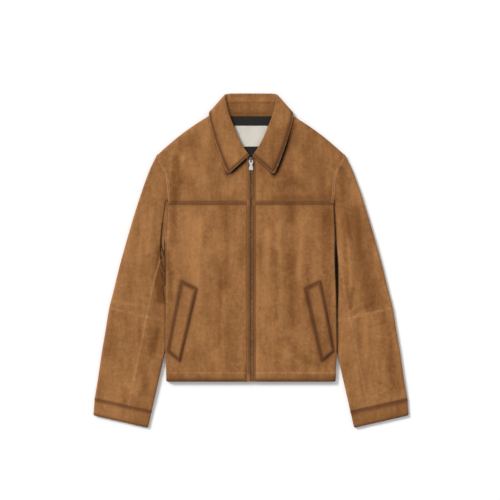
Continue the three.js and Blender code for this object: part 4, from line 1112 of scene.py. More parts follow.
def collar():
    front = len(LEAF_ROLL) - 1
    last = front + len(FALL_ROLL)
    roll = Curve(LEAF_ROLL + [tuple(unfolded(p)) for p in FALL_ROLL], 80)
    edge = Curve(LEAF_EDGE + [tuple(unfolded(p)) for p in FALL_EDGE], 80)
    side_way = unfolded((0, COLLAR_TOP_Y - 1)) - unfolded((0, COLLAR_TOP_Y))
    k_front = np.concatenate([FINE / PLACE_RUN, np.linspace(FINE[-1] / PLACE_RUN, front, 52)[1:]])
    k_fold, k_fall = np.linspace(front, front + 1, 30)[1:], np.linspace(front + 1, last, 18)[1:]
    stations = np.concatenate([k_front, k_fold, k_fall])
    half, d_edge = [], []
    for k in stations:
        start, end = roll.at_place(k), edge.at_place(k)
        width = float(np.linalg.norm(end - start))
        behind = float(ease(k - front))
        radius = lerp(2.6, 3.4, behind)
        stand_share = (COLLAR_TOP_Y - STAND_SEAM_Y - 0.25) / float((end - start) @ side_way)
        under = lerp(7.0, stand_share * width, behind)
        below = np.linspace(under, radius, 6)[:-1]
        turns = np.radians(np.linspace(-90, 90, 13))
        leaf = radius + graded(60.0, 2.6, start=False)[1:] / 60.0 * (width - radius)
        run = np.concatenate([below, radius * (1 - np.cos(turns)), leaf])
        high = np.concatenate([0 * below - 2 * radius, radius * (np.sin(turns) - 1), 0 * leaf])
        share, place = rounded_corner(run / width, k)
        starts, ends = roll.at_place(place), edge.at_place(place)
        half.append(folded(starts + (ends - starts) * share[:, None], high, run / width))
        d_edge.append(np.where(np.arange(len(run)) < len(below) + 7, 60.0, (1 - run / width) * 60.0))
    half, d_edge = np.array(half), np.array(d_edge)
    d_front = np.minimum(stations * PLACE_RUN, 60.0)[:, None] + 0 * d_edge
    mirror = half[:-1][::-1] * np.array([-1, 1, 1])
    grid = np.concatenate([half, mirror])
    d_edge = np.concatenate([d_edge, d_edge[:-1][::-1]])
    d_front = np.concatenate([d_front, d_front[:-1][::-1]])
    d = np.minimum(d_edge, d_front)
    creases = troughs(COLLAR_CREASES, grid[..., 0], grid[..., 1])
    relief = rounded(d, 1.5) + topstitched(d, LEAF_ROW, 0.35) - creases
    burnish_and_shade = 0.65 * line(d, 5.4, 3.0) + 0.45 * line(d, 7.0, 8.0)
    wear_and_highlight = 0.35 * line(d, 1.2, 1.4)
    return cloth("collar_cloth", grid, COLLAR_WALL, up=-1, relief=relief, burnish_and_shade=burnish_and_shade, wear_and_highlight=wear_and_highlight)


pieces["collar"] = collar()
print("collar faces", len(pieces["collar"].data.polygons))

# %% [markdown]
# ## Inside the neck
#
# Between the leaves one sees the stand with its rows of stitching, the dark lining and a plain
# woven label. They are flat pieces that lie one on another. They could be plane primitives, but a
# plane has no wall and no points to press the stitching into, so one small function makes all three
# from the same rows and columns.

# %% Flat piece


def back_low(x, y):
    """Height of the back panel's underside near the neck."""
    return tuck_lift(x, y) * ease((UNDERARM[1] + 12 - y) / 30) + collar_lift(x, y)


def flat_piece(name, half, top, bottom, wall, height, step=3.0, relief=None, **marks):
    y = (top - graded(top - bottom, step))[:, None]
    x = (-half + graded(2 * half, step))[None, :]
    grid = np.stack([x + 0 * y, y + 0 * x, height(x + 0 * y, y + 0 * x)], -1)
    d = np.minimum(np.minimum(top - y, y - bottom), np.minimum(half - x, half + x))
    return cloth(name, grid, wall, up=1, relief=relief(d, x, y) if relief else 0.0, **marks)


print("back panel below the label, mm:", round(float(back_low(0.0, 300.0)), 2))

# %% Stand, lining and label
STAND_ROWS = (376.6, 370.6, 361.0, 352.6)
stand_y = 381.05


def stand_relief(d, x, y):
    rows = sum(-0.5 * line(y, row + 0.7 * np.sin(x * 0.07 + row), 1.2) for row in STAND_ROWS)
    return rounded(d, 0.6) + rows + 0.22 * np.sin(x * 0.13 + y * 0.4) * np.sin(x * 0.05 - y * 0.9)


# The stand is darkened as painted shade, since it lies in the hollow inside the collar.
pieces["collar_stand"] = flat_piece("collar_stand_cloth", 66.0, stand_y, 346.7, 1.7,
                                    lambda x, y: 6.8 + 0 * x, relief=stand_relief, shade=0.4)
pieces["neck_lining"] = flat_piece("neck_lining_cloth", 86.0, 346.2, 168.0, 0.8,
                                   lambda x, y: back_low(x, y) + 3.15)
pieces["neck_label"] = flat_piece("neck_label_cloth", 40.0, 323.8, 273.8, 0.6,
                                  lambda x, y: back_low(x, y) + 4.1,
                                  relief=lambda d, x, y: rounded(d, 0.3))
print("neck pieces:", [key for key in pieces if "stand" in key or key.startswith("neck")])

# %% [markdown]
# ## Pocket welts
#
# A welt is a folded strip sewn over the slit of a slanted pocket. It is fuller in the middle than
# at its burnished edges, where the stitches hold it down. A subdivided cube would lose its sharp
# plan, so the welt is a grid over its four corners, with a slight bow on its outer side.

# %% Pocket welts
WELT_LENGTH, WELT_WIDTH, WELT_ROW = 172.0, 38.0, 4.2
WELT_WALL, WELT_CLEAR = 2.2, 0.75


def welt(side):
    outer_top, inner_top, inner_bottom, outer_bottom = (np.array(p) for p in WELT)
    t = (graded(WELT_LENGTH, 2.6) / WELT_LENGTH)[:, None, None]
    s = (graded(WELT_WIDTH, 2.4) / WELT_WIDTH)[None, :, None]
    bow = 1.6 * np.sin(math.pi * t)
    p = lerp(lerp(outer_top, outer_bottom, t), lerp(inner_top, inner_bottom, t), s)
    p = p + bow * np.array([1.0, 0.2]) * (1 - s)
    x, y = p[..., 0], p[..., 1]
    d = np.minimum(np.minimum(t, 1 - t) * WELT_LENGTH, np.minimum(s, 1 - s) * WELT_WIDTH)[..., 0]
    z = front_top(side * x, y) + WELT_CLEAR + WELT_WALL
    relief = rounded(d, 2.0) - 0.9 * (1 - ease(d / 9.0)) + topstitched(d, 4.0, 0.2)
    burnish_and_shade = 0.85 * line(d, 0, 4.0) + 0.55 * line(d, 0, 10.0) + 0.4 * line(d, WELT_ROW, 0.9)
    grid = np.stack([side * x, y, z], -1)
    return cloth(f"pocket_welt_{'left' if side < 0 else 'right'}_cloth", grid, WELT_WALL,
                 up=-side, relief=relief, burnish_and_shade=burnish_and_shade)


print("corners of the right welt, mm:", np.round(WELT, 1).tolist())

# %% [markdown]
# ## Strips beside the zip
#
# Two narrow folded strips cover the zip's tape and leave its teeth in a thin dark line. They are
# burnished harder than the rest, because a hand runs along them. At the top they part round the
# slider. An array of short lengths could follow the front, but one long grid takes the bulge at the
# yoke seam and the parting at the top with no joins.

# %% Strips beside the zip
STRIP_WALL, STRIP_ABOVE, STRIP_ROWS, PARTING_Y = 2.4, 0.4, (3.5, 8.1), 233.0


def placket(side):
    y = (HEM_Y + 0.2 + graded(ZIP_TOP_Y - HEM_Y - 0.2))[:, None]
    x = np.unique(np.concatenate([PLACKET_IN + FINE[:6], PLACKET_OUT - FINE[:6]]))[None, :]
    at_seam = line(y, YOKE_Y, 7.0)
    bulk = 1.1 * at_seam
    z = front_top(0 * y, y, False) + STRIP_ABOVE + 0 * x
    opened = 3.4 * ease((y - PARTING_Y) / 9) + 0.7 * at_seam
    apart = opened * (PLACKET_OUT - x) / (PLACKET_OUT - PLACKET_IN)
    grid = np.stack([side * (x + apart), y + 0 * x, z], -1)
    d = np.minimum(x - PLACKET_IN, PLACKET_OUT - x)
    edges = np.minimum(rounded(x - PLACKET_IN, 1.2), rounded(PLACKET_OUT - x, 0.3))
    relief = edges + bulk - 0.35 * line(d, 2.4, 0.8) + rounded(y - HEM_Y - 0.2, 1.9)
    inner, outer = (0.85, 0.45) if side < 0 else (1.0, 0.7)
    burnish_and_shade = lerp(inner, outer, ease((x - 4.0) / 5)) - 0.3 * line(y, YOKE_Y, 6.0)
    burnish_and_shade = burnish_and_shade - (0.35 if side < 0 else 0.0) * ease((-268 - y) / 6)
    # The strips' inner edges are lighter as a painted highlight on their rounded rims, the right one
    # more.
    wear_and_highlight = (0.5 if side > 0 else 0.25) * line(x - PLACKET_IN, 1.0, 1.0) + 0 * y
    return cloth(f"placket_{'left' if side < 0 else 'right'}_cloth", grid, STRIP_WALL, up=-side,
                 relief=relief, burnish_and_shade=burnish_and_shade, wear_and_highlight=wear_and_highlight)


print("strips above the table, mm:", float(front_top(0.0, 0.0, False)) + STRIP_ABOVE)

# %% Zip tapes
TAPE_WALL, TAPE_BELOW, TAPE_EDGES = 0.8, 2.35, (0.25, 15.0)


def zip_tape(side):
    y = (HEM_Y + 3 + np.linspace(0, ZIP_TOP_Y - HEM_Y - 3, 190))[:, None]
    x = np.linspace(*TAPE_EDGES, 8)[None, :]
    z = front_top(0 * y, y, False) - TAPE_BELOW + 0 * x
    grid = np.stack([side * (x + 0 * y), y + 0 * x, z], -1)
    return cloth(f"zip_tape_{'left' if side < 0 else 'right'}_cloth", grid, TAPE_WALL, up=-side)


for name, side in (("left", -1), ("right", 1)):
    pieces[f"pocket_welt_{name}"] = welt(side)
    pieces[f"placket_{name}"] = placket(side)
    pieces[f"zip_tape_{name}"] = zip_tape(side)
print("cloth pieces so far:", len(pieces))

# %% [markdown]
# ## Stitches
#
# A row of stitches follows a seam at a steady distance, and each stitch sinks into the nap. Threads
# modelled one by one would be thousands of objects. So every row is a line in plan that is dropped
# onto the finished cloth by rays from above, and a node group later puts one bent thread on each of
# its points.

# %% Dropping a row onto the cloth


def surface_of(names):
    """A tree of the pieces' faces, in millimetres, for dropping points onto them."""
    points, faces = [], []
    for name in names:
        mesh = pieces[name].data
        co = np.empty(len(mesh.vertices) * 3, np.float32)
        mesh.vertices.foreach_get("co", co)
        loops = np.empty(len(mesh.loops), np.int32)
        mesh.loops.foreach_get("vertex_index", loops)
        faces.append(loops.reshape(-1, 4) + sum(len(q) for q in points))
        points.append(co.reshape(-1, 3) / MM)
    return BVHTree.FromPolygons(np.vstack(points).tolist(), np.vstack(faces).tolist())


def spaced(plan_line, pitch):
    """Points a pitch apart along a line in plan."""
    p = np.array(plan_line, float)
    run = np.concatenate([[0], np.cumsum(np.linalg.norm(np.diff(p, axis=0), axis=1))])
    at = np.arange(pitch / 2, run[-1], pitch)
    return np.column_stack([np.interp(at, run, p[:, k]) for k in (0, 1)])


STITCH_PITCH = 3.2


def dropped(plan_line, tree, pitch=STITCH_PITCH):
    """Points of a row on the cloth below it, and the way the row runs at each."""
    flat = spaced(plan_line, pitch)
    hits = [tree.ray_cast(Vector((x, y, 60.0)), Vector((0, 0, -1)))[0] for x, y in flat]
    p = np.array([h for h in hits if h is not None])
    if len(p) < 2:
        return p, p
    ways = np.gradient(p, axis=0)
    return p, ways / np.linalg.norm(ways, axis=1, keepdims=True)


front_cloth = surface_of(["front_panel_right"])
print("stitches on 60 mm of the front:", len(dropped([(40, -150), (100, -150)], front_cloth)[0]))

# %% Lines beside a seam


def offset_line(line_points, inward):
    """The line moved square to itself in plan, to its left where inward is positive."""
    p = np.array(line_points, float)
    way = np.gradient(p, axis=0)
    way /= np.linalg.norm(way, axis=1, keepdims=True)
    return p + inward * np.column_stack([-way[:, 1], way[:, 0]])


def sleeve_line(region, side, share_of_seam, inset):
    """A line in plan beside the front seam, an inset away on its outer side."""
    line_points = []
    for t in np.linspace(0.02, 0.995, 60):
        width = float(np.linalg.norm(region["start"](t) - region["end"](t)))
        seam = lerp(*share_of_seam, float(ease(t)))
        line_points.append(patch(region, np.array([seam - inset / width]), t)[0])
    return np.array(line_points) * np.array([side, 1])


right_seam = sleeve_line(UPPER_ARM, 1, FRONT_SEAM[1]["upper"], SLEEVE_ROW)
print("front seam at the right elbow, mm:", right_seam[-1].round(1))

# %% [markdown]
# ## Which rows are sewn
#
# Dark thread holds the yoke seam, the strips, the cuffs, the welts and the collar, and a light
# thread the hem, the armholes and the sleeves. The rows are gathered by thread, so that each thread
# becomes one piece later. One node group for each seam would work too, but it would repeat the same
# nodes a dozen times.

# %% Rows of the front, the welts and the collar


def front_rows(name, side):
    panel, yoke, strips = (surface_of([f"{part}_{name}"])
                           for part in ("front_panel", "front_yoke", "placket"))
    above, below = YOKE_Y + SEAM_ROW[1], YOKE_Y - SEAM_ROW[0]
    dark = [dropped([(side * 13, above), (side * 191, above)], yoke),
            dropped([(side * 13, below), (side * 196, below)], panel)]
    dark += [dropped([(side * x, HEM_Y + 4), (side * x, ZIP_TOP_Y - 2)], strips) for x in STRIP_ROWS]
    light = [dropped([(side * 14, HEM_Y + HEM_ROW), (side * 202, HEM_Y + HEM_ROW)], panel)]
    arm_line = armhole.at(np.linspace(0.035, bend - 0.02, 80))
    light += [dropped(offset_line(arm_line, -inset) * [side, 1.0], yoke) for inset in (5.2, 2.2)]
    return dark, light


def welt_row(name, side):
    """The row that runs round a welt, a little inside its four edges."""
    corners = np.array(WELT + WELT[:1])
    centre = corners[:4].mean(axis=0)
    inset = []
    for (x0, y0), (x1, y1) in zip(corners, corners[1:]):
        way = np.array([x1 - x0, y1 - y0]) / math.hypot(x1 - x0, y1 - y0)
        square = np.array([-way[1], way[0]])
        inwards = square * np.sign(square @ (centre - (x0, y0)))
        inset.append((np.array([x0, y0]) + WELT_ROW * inwards, way))
    ring = []
    for (p, u), (q, v) in zip([inset[-1]] + inset[:-1], inset):
        ring.append(p + np.linalg.solve(np.column_stack([u, -v]), q - p)[0] * u)
    return dropped(np.array(ring + ring[:1]) * [side, 1.0], surface_of([f"pocket_welt_{name}"]))


def collar_rows(side):
    leaf = surface_of(["collar"])
    front_way = np.array(LEAF_EDGE[0]) - np.array(LEAF_ROLL[0])
    front_way /= np.linalg.norm(front_way)
    square = np.array([-front_way[1], front_way[0]])
    front_from = np.array(LEAF_ROLL[0]) + LEAF_ROW * square + 3 * front_way
    side_line = offset_line(Curve(LEAF_EDGE).at(np.linspace(0.0, 1.0, 60)), LEAF_ROW)
    side_line = side_line[(side_line - front_from) @ square > 0]
    front_line = np.array([front_from, front_from + front_way * 62.0])
    return [dropped(side_line * [side, 1.0], leaf), dropped(front_line * [side, 1.0], leaf)]


print("stitches of one welt:", len(welt_row("left", -1)[0]))

# %% Rows of the sleeves and the cuffs


def sleeve_rows(name, side):
    upper, lower = (surface_of([f"sleeve_{part}_{face}_{name}" for face in ("outer", "inner")])
                    for part in ("upper", "lower"))
    elbow_line = straight(*ELBOW)(np.linspace(0.03, 0.97, 40))
    light = [dropped((elbow_line - [0, ELBOW_ROW]) * [side, 1.0], lower),
             dropped((elbow_line + [0, ELBOW_ROW]) * [side, 1.0], upper)]
    for region, cloth_below in ((UPPER_ARM, upper), (FOREARM, lower)):
        seam_row = sleeve_line(region, side, FRONT_SEAM[side][region["name"]], SLEEVE_ROW)
        light.append(dropped(seam_row, cloth_below))
    return light


def cuff_rows(name, side):
    cuff_cloth = surface_of([f"cuff_{name}"])
    dark = []
    for row in CUFF_ROWS:
        a = lerp(np.array(CUFF_SEAM[0]), np.array(CUFF_EDGE[0]), row / CUFF_DEPTH)
        b = lerp(np.array(CUFF_SEAM[1]), np.array(CUFF_EDGE[1]), row / CUFF_DEPTH)
        dark.append(dropped(np.array([lerp(a, b, 0.03), lerp(a, b, 0.97)]) * [side, 1.0], cuff_cloth))
    return dark


print("stitches of one cuff:", sum(len(p) for p, _ in cuff_rows("left", -1)))

# %% All the rows
rows = {"dark": [], "light": []}
for name, side in (("left", -1), ("right", 1)):
    dark, light = front_rows(name, side)
    rows["dark"] += dark + cuff_rows(name, side) + [welt_row(name, side)] + collar_rows(side)
    rows["light"] += light + sleeve_rows(name, side)
stand_cloth = surface_of(["collar_stand"])
rows["dark"] += [dropped([(-64, y), (64, y)], stand_cloth, 2.9) for y in STAND_ROWS]
label_cloth = surface_of(["neck_label"])
label_ring = [(-38.2, 322), (38.2, 322), (38.2, 275.6), (-38.2, 275.6), (-38.2, 322)]
rows["label"] = [dropped(label_ring, label_cloth, 2.4)]
print("stitches:", {key: sum(len(p) for p, _ in value) for key, value in rows.items()})

# %% [markdown]
# ## Node group of one stitch
#
# A stitch is a short bent thread whose two ends dip into the suede. The group makes it once, from a
# curve with a round profile, and sets it on every point of the rows, turned the way the row runs
# and a little off true, as sewing is. Copying a mesh in a Python loop would give the same, but
# slower, and with no sizes to change by name.

# %% Helpers for node groups


def group_inputs(tree, wanted):
    """Adds the geometry socket and the named inputs, and returns the group input node."""
    tree.interface.new_socket("Geometry", in_out="INPUT", socket_type="NodeSocketGeometry")
    for name, kind, value in wanted:
        item = tree.interface.new_socket(name, in_out="INPUT", socket_type=kind)
        if value is not None:
            item.default_value = value
    tree.interface.new_socket("Geometry", in_out="OUTPUT", socket_type="NodeSocketGeometry")
    return tree.nodes.new("NodeGroupInput")


def make(tree, kind, ins=None, **settings):
    """A node with its settings, and its inputs from sockets or plain values."""
    node = tree.nodes.new(kind)
    for key, value in settings.items():
        setattr(node, key, value)
    for key, value in (ins or {}).items():
        if isinstance(value, bpy.types.NodeSocket):
            tree.links.new(value, node.inputs[key])
        else:
            node.inputs[key].default_value = value
    return node


def finish_group(tree, geometry, material):
    """Real geometry in place of the instances, and its material, as the group's last two steps."""
    real = make(tree, "GeometryNodeRealizeInstances", {"Geometry": geometry})
    made = make(tree, "GeometryNodeSetMaterial", {"Geometry": real.outputs[0], "Material": material})
    out = tree.nodes.new("NodeGroupOutput")
    tree.links.new(made.outputs[0], out.inputs[0])


print("every group ends in Realize Instances and Set Material")

# %% Thread of one stitch


def bent_thread(tree, given):
    """A thread that rises in its middle and dips at its two ends."""
    length = given["Stitch Length"]
    half = make(tree, "ShaderNodeMath", {0: length, 1: 0.5}, operation="MULTIPLY").outputs[0]
    back = make(tree, "ShaderNodeMath", {0: length, 1: -0.5}, operation="MULTIPLY").outputs[0]
    dip = make(tree, "ShaderNodeMath", {0: given["Rise"], 1: -0.5}, operation="MULTIPLY").outputs[0]
    bent = make(tree, "GeometryNodeCurveQuadraticBezier", {
        "Resolution": 4,
        "Start": make(tree, "ShaderNodeCombineXYZ", {"X": back, "Z": dip}).outputs[0],
        "Middle": make(tree, "ShaderNodeCombineXYZ", {"Z": given["Rise"]}).outputs[0],
        "End": make(tree, "ShaderNodeCombineXYZ", {"X": half, "Z": dip}).outputs[0]})
    ring = make(tree, "GeometryNodeCurvePrimitiveCircle",
                {"Resolution": 5, "Radius": given["Thread Radius"]})
    return make(tree, "GeometryNodeCurveToMesh", {
        "Curve": bent.outputs[0], "Profile Curve": ring.outputs[0], "Fill Caps": True}).outputs[0]


STITCH = {"Stitch Length": 0.0023, "Thread Radius": 0.00026, "Rise": 0.00045, "Turn": 0.12}
STITCH_SEED = 11
print("one stitch, mm:",
      {key: round(value * 1000, 2) for key, value in STITCH.items() if key != "Turn"})

# %% Stitches along a row


def stitch_tree():
    tree = bpy.data.node_groups.new("stitches", "GeometryNodeTree")
    given = group_inputs(tree, [
        *((key, "NodeSocketFloat", value) for key, value in STITCH.items()),
        ("Seed", "NodeSocketInt", STITCH_SEED), ("Thread", "NodeSocketMaterial", None)]).outputs
    way = make(tree, "GeometryNodeInputNamedAttribute", {"Name": "way"},
               data_type="FLOAT_VECTOR").outputs[0]
    turned = make(tree, "FunctionNodeAlignRotationToVector", {"Vector": way}, axis="X").outputs[0]
    less = make(tree, "ShaderNodeMath", {0: given["Turn"], 1: -1.0}, operation="MULTIPLY").outputs[0]
    lowest = make(tree, "ShaderNodeCombineXYZ", {"Z": less}).outputs[0]
    highest = make(tree, "ShaderNodeCombineXYZ", {"Z": given["Turn"]}).outputs[0]
    uneven = make(tree, "FunctionNodeRandomValue",
                  {"Min": lowest, "Max": highest, "Seed": given["Seed"]},
                  data_type="FLOAT_VECTOR").outputs[0]
    spun = make(tree, "FunctionNodeRotateRotation", {"Rotation": turned, "Rotate By": uneven},
                rotation_space="LOCAL").outputs[0]
    placed = make(tree, "GeometryNodeInstanceOnPoints", {
        "Points": given["Geometry"], "Instance": bent_thread(tree, given), "Rotation": spun})
    finish_group(tree, placed.outputs[0], given["Thread"])
    return tree


stitches = stitch_tree()
print("nodes in the stitch group:", len(stitches.nodes))

# %% [markdown]
# ## From a node group to a plain mesh
#
# A modifier gives the piece its stitches, but the rest of the work needs a mesh with no modifier.
# So the group's inputs are set by the identifiers of their sockets, the piece is evaluated once,
# and the result takes the place of its points. Applying the modifier with an operator would do the
# same, but it depends on what is selected.

# %% Plain mesh from a node group


def from_nodes(name, tree, points, ways, values):
    """A finished piece from a node group that works on points, with the modifier taken off again."""
    mesh = bpy.data.meshes.new(name)
    mesh.from_pydata((np.asarray(points) * MM).tolist(), [], [])
    way = mesh.attributes.new("way", "FLOAT_VECTOR", "POINT")
    way.data.foreach_set("vector", np.asarray(ways, np.float32).ravel())
    piece = bpy.data.objects.new(name, mesh)
    bpy.context.scene.collection.objects.link(piece)
    modifier = piece.modifiers.new("nodes", "NODES")
    modifier.node_group = tree
    for item in tree.interface.items_tree:
        if item.in_out == "INPUT" and item.name in values:
            modifier[item.identifier] = values[item.name]
    evaluated = piece.evaluated_get(bpy.context.evaluated_depsgraph_get())
    made = bpy.data.meshes.new_from_object(evaluated)
    piece.modifiers.clear()
    piece.data = made
    made.name = name
    print(name, "faces", len(made.polygons))
    return piece


extras = {}
print("a piece from nodes is kept in its own table, apart from the cloth")

# %% [markdown]
# ## Shader maths
#
# A material is a graph of nodes, and a long graph is hard to read. The small class below wraps a
# socket, so that adding two values writes the Math node that adds them, and every finish reads as
# plain arithmetic. The nodes could be joined one by one with links, but the sums would be lost
# among them.

# %% Sockets as plain values


class Value:
    """A socket of a material, so that shader maths reads as plain arithmetic."""

    def __init__(self, tree, socket):
        self.tree, self.socket = tree, socket

    def node(self, kind, ins=None, out=0, **settings):
        plain = {k: v.socket if isinstance(v, Value) else v for k, v in (ins or {}).items()}
        return Value(self.tree, make(self.tree, kind, plain, **settings).outputs[out])

    def math(self, operation, first, second=0.0):
        return self.node("ShaderNodeMath", {0: first, 1: second}, operation=operation)

    def __add__(self, other):
        return self.math("ADD", self, other)

    def __radd__(self, other):
        return self.math("ADD", other, self)

    def __sub__(self, other):
        return self.math("SUBTRACT", self, other)

    def __rsub__(self, other):
        return self.math("SUBTRACT", other, self)

    def __mul__(self, other):
        return self.math("MULTIPLY", self, other)

    def __rmul__(self, other):
        return self.math("MULTIPLY", other, self)

    def between(self, low, high):
        """0 at low and below, 1 at high and above, and smooth between."""
        return self.node("ShaderNodeMapRange", {"Value": self, "From Min": low, "From Max": high},
                         interpolation_type="SMOOTHSTEP")

    def colour(self, dark, light):
        """dark where this is 0 and light where it is 1."""
        return self.node("ShaderNodeMix", {0: self, 6: dark, 7: light}, out=2, data_type="RGBA")


print("operators on sockets: + - * and their reflected forms")

# %% Helpers for the finishes


def srgb(r, g, b):
    """A colour read from a screen, as the linear light that shaders work in."""
    shares = [v / 255 for v in (r, g, b)]
    return tuple(v / 12.92 if v < 10.3 / 255 else ((v + 0.055) / 1.055) ** 2.4
                 for v in shares) + (1.0,)


def new_material(name, slot, **constants):
    """A material, its principled shader and its object coordinates."""
    material = bpy.data.materials.new(name)
    material.use_nodes = True
    material["slot"] = slot
    tree = material.node_tree
    shader = tree.nodes["Principled BSDF"]
    for key, value in constants.items():
        shader.inputs[key.replace("_", " ")].default_value = value
    place = Value(tree, tree.nodes.new("ShaderNodeTexCoord").outputs["Object"])
    return material, shader, place


def stretched(place, x, y, z):
    """Coordinates scaled on each axis. A small share draws a noise out along that axis."""
    return place.node("ShaderNodeVectorMath", {0: place, 1: (x, y, z)}, operation="MULTIPLY")


def noise(place, scale, detail=2.0, roughness=0.5, distortion=0.0):
    """Noise from about 0 to 1, with its middle at a half."""
    return place.node("ShaderNodeTexNoise", {
        "Vector": place, "Scale": scale, "Detail": detail, "Roughness": roughness,
        "Distortion": distortion})


def attribute(place, name):
    """One of the marks that a piece carries on its points."""
    return place.node("ShaderNodeAttribute", {}, out=2, attribute_name=name)


def give(shader, value, name):
    value.tree.links.new(value.socket, shader.inputs[name])


def bumped(shader, height, strength, distance):
    bump = height.node("ShaderNodeBump",
                       {"Height": height, "Strength": strength, "Distance": distance})
    give(shader, bump, "Normal")


print("tan of the suede as linear light:", [round(v, 3) for v in srgb(172, 121, 74)[:3]])

# %% [markdown]
# ## Suede
#
# Suede is leather with a brushed nap. Its colour wanders at several sizes, from broad clouds down
# to single fibres, it is stretched down the length of the garment, and it darkens and smooths where
# it is burnished along the seams. A photographed texture would repeat and carry its own light, so
# noises at five sizes make the tone, and the marks that each piece carries lay over it the darker
# burnished seams with painted shade among them, the pale edges from wear with painted highlights
# among them, the painted shade and painted light of the patches and creases, and the painted
# shadow of the dark gaps.

# %% Tone of the nap
suede, shader, place = new_material("suede", "suede", Sheen_Weight=0.12, Sheen_Roughness=0.5,
                                    Specular_IOR_Level=0.12)
clouds = noise(place, 8.0, 3.0, 0.55, 0.4)
patches = noise(stretched(place, 1.0, 0.55, 1.0), 26.0, 3.0, 0.6, 0.3)
streaks = noise(stretched(place, 1.0, 0.16, 1.0), 55.0, 2.0, 0.6)
mottle = noise(place, 120.0, 3.0, 0.65)
nap = noise(place, 620.0, 3.0, 0.7)
wander = noise(place, 34.0, 2.0, 0.5, 1.6)
veins = (1 - ((wander - 0.5) * (wander - 0.5) * 900.0).between(0, 1)) * clouds.between(0.5, 0.66)
tone = (clouds - 0.5) * 0.6 + (patches - 0.5) * 0.52 + (streaks - 0.5) * 0.6 + (mottle - 0.5) * 0.65
tone = tone + (nap - 0.5) * 1.1 + veins * 0.12
# The shade marks darken or lighten the tone as painted shade and painted light.
tone = tone - attribute(place, "shade") * (0.5 + (patches - 0.5) * 0.6)
print("nodes for the tone:", len(suede.node_tree.nodes))

# %% Colours of the suede
base = (tone + 0.5).between(-0.15, 1.15).colour(srgb(110, 68, 32), srgb(172, 121, 74))
# The burnished marks darken the colour, and beside the body's edge they are painted shade.
burnish_and_shade_mask = attribute(place, "burnish_and_shade") + (mottle - 0.5) * 0.4 + (patches - 0.5) * 0.2
burnish_and_shade_mask = burnish_and_shade_mask.between(0.05, 1.05)
# Pale edges from wear lighten it, and on the strips' rims the pale line is a painted highlight.
wear_and_highlight_mask = (attribute(place, "wear_and_highlight") + (mottle - 0.5) * 0.9 + (patches - 0.5) * 0.7).between(0.15, 1.15)
burnish_and_shade_colour = (tone + 0.5).between(0, 1).colour(srgb(82, 48, 22), srgb(114, 72, 37))
colour = wear_and_highlight_mask.node("ShaderNodeMix", {0: burnish_and_shade_mask, 6: base, 7: burnish_and_shade_colour}, out=2, data_type="RGBA")
colour = wear_and_highlight_mask.node("ShaderNodeMix", {0: wear_and_highlight_mask, 6: colour, 7: srgb(188, 138, 90)}, out=2,
                     data_type="RGBA")
# Painted shadow makes the gaps nearly black.
painted_shadow = attribute(place, "painted_shadow").between(0, 1)
colour = painted_shadow.node("ShaderNodeMix", {0: painted_shadow, 6: colour, 7: srgb(22, 12, 6)}, out=2, data_type="RGBA")
give(shader, colour, "Base Color")
give(shader, 0.95 - burnish_and_shade_mask * 0.25, "Roughness")
bumped(shader, nap * 0.5 + mottle * 0.35 + patches * 0.3, 0.35, 0.0008)
print("nodes of the suede:", len(suede.node_tree.nodes))

# %% [markdown]
# ## Lining, label and zip tape
#
# These three are woven. A lining is a dark smooth twill, a label a fine pale satin, and a zip's
# tape has ribs along it. Threads of mesh would be far too fine to show, so a wave texture stands
# for the weave: it varies the colour a little and raises a very low bump.

# %% Lining
lining, shader, place = new_material("lining", "lining", Specular_IOR_Level=0.25)
twill = place.node("ShaderNodeTexWave", {
    "Vector": place, "Scale": 420.0, "Distortion": 0.6, "Detail": 1.0}, bands_direction="DIAGONAL")
thread = noise(place, 30.0) * 0.6 + twill * 0.4
give(shader, thread.colour(srgb(14, 12, 10), srgb(28, 25, 21)), "Base Color")
give(shader, 0.5 + noise(place, 40.0) * 0.2, "Roughness")
bumped(shader, twill, 0.2, 0.0003)
print("nodes of the lining:", len(lining.node_tree.nodes))

# %% Label
label_material, shader, place = new_material("label", "label", Specular_IOR_Level=0.3)
weft = place.node("ShaderNodeTexWave", {"Vector": place, "Scale": 500.0}, bands_direction="Y")
thread = noise(place, 45.0) * 0.7 + weft * 0.3
give(shader, thread.colour(srgb(186, 180, 168), srgb(222, 217, 206)), "Base Color")
give(shader, 0.7 + noise(place, 60.0) * 0.1, "Roughness")
bumped(shader, weft, 0.25, 0.0002)
print("nodes of the label:", len(label_material.node_tree.nodes))

# %% Zip tape
tape_material, shader, place = new_material("zip tape", "zip_tape", Specular_IOR_Level=0.2)
ribs = place.node("ShaderNodeTexWave", {"Vector": place, "Scale": 350.0}, bands_direction="X")
thread = ribs * 0.5 + noise(place, 90.0) * 0.5
give(shader, thread.colour(srgb(46, 32, 22), srgb(84, 62, 44)), "Base Color")
give(shader, 0.85 + noise(place, 60.0) * 0.1, "Roughness")
bumped(shader, ribs, 0.4, 0.0003)
print("nodes of the tape:", len(tape_material.node_tree.nodes))

# %% [markdown]
# ## Threads
#
# The sewing is a waxed thread in a brown near the burnish, and a paler one where it crosses open
# cloth. Each has a slight sheen and changes along its length. One colour for all would be simpler,
# but then half of the rows would disappear into the suede.

# %% Threads


def thread_material(name, dark, light):
    material, shader, place = new_material(name, "suede", Sheen_Weight=0.3, Specular_IOR_Level=0.3)
    give(shader, noise(place, 300.0).colour(dark, light), "Base Color")
    give(shader, 0.7 + noise(place, 200.0) * 0.15, "Roughness")
    return material


threads = {
    "dark": thread_material("thread dark", srgb(104, 64, 34), srgb(140, 92, 52)),
    "light": thread_material("thread light", srgb(176, 130, 84), srgb(206, 160, 112)),
    "label": thread_material("thread label", srgb(196, 190, 178), srgb(226, 222, 212)),
}
print("threads:", list(threads))

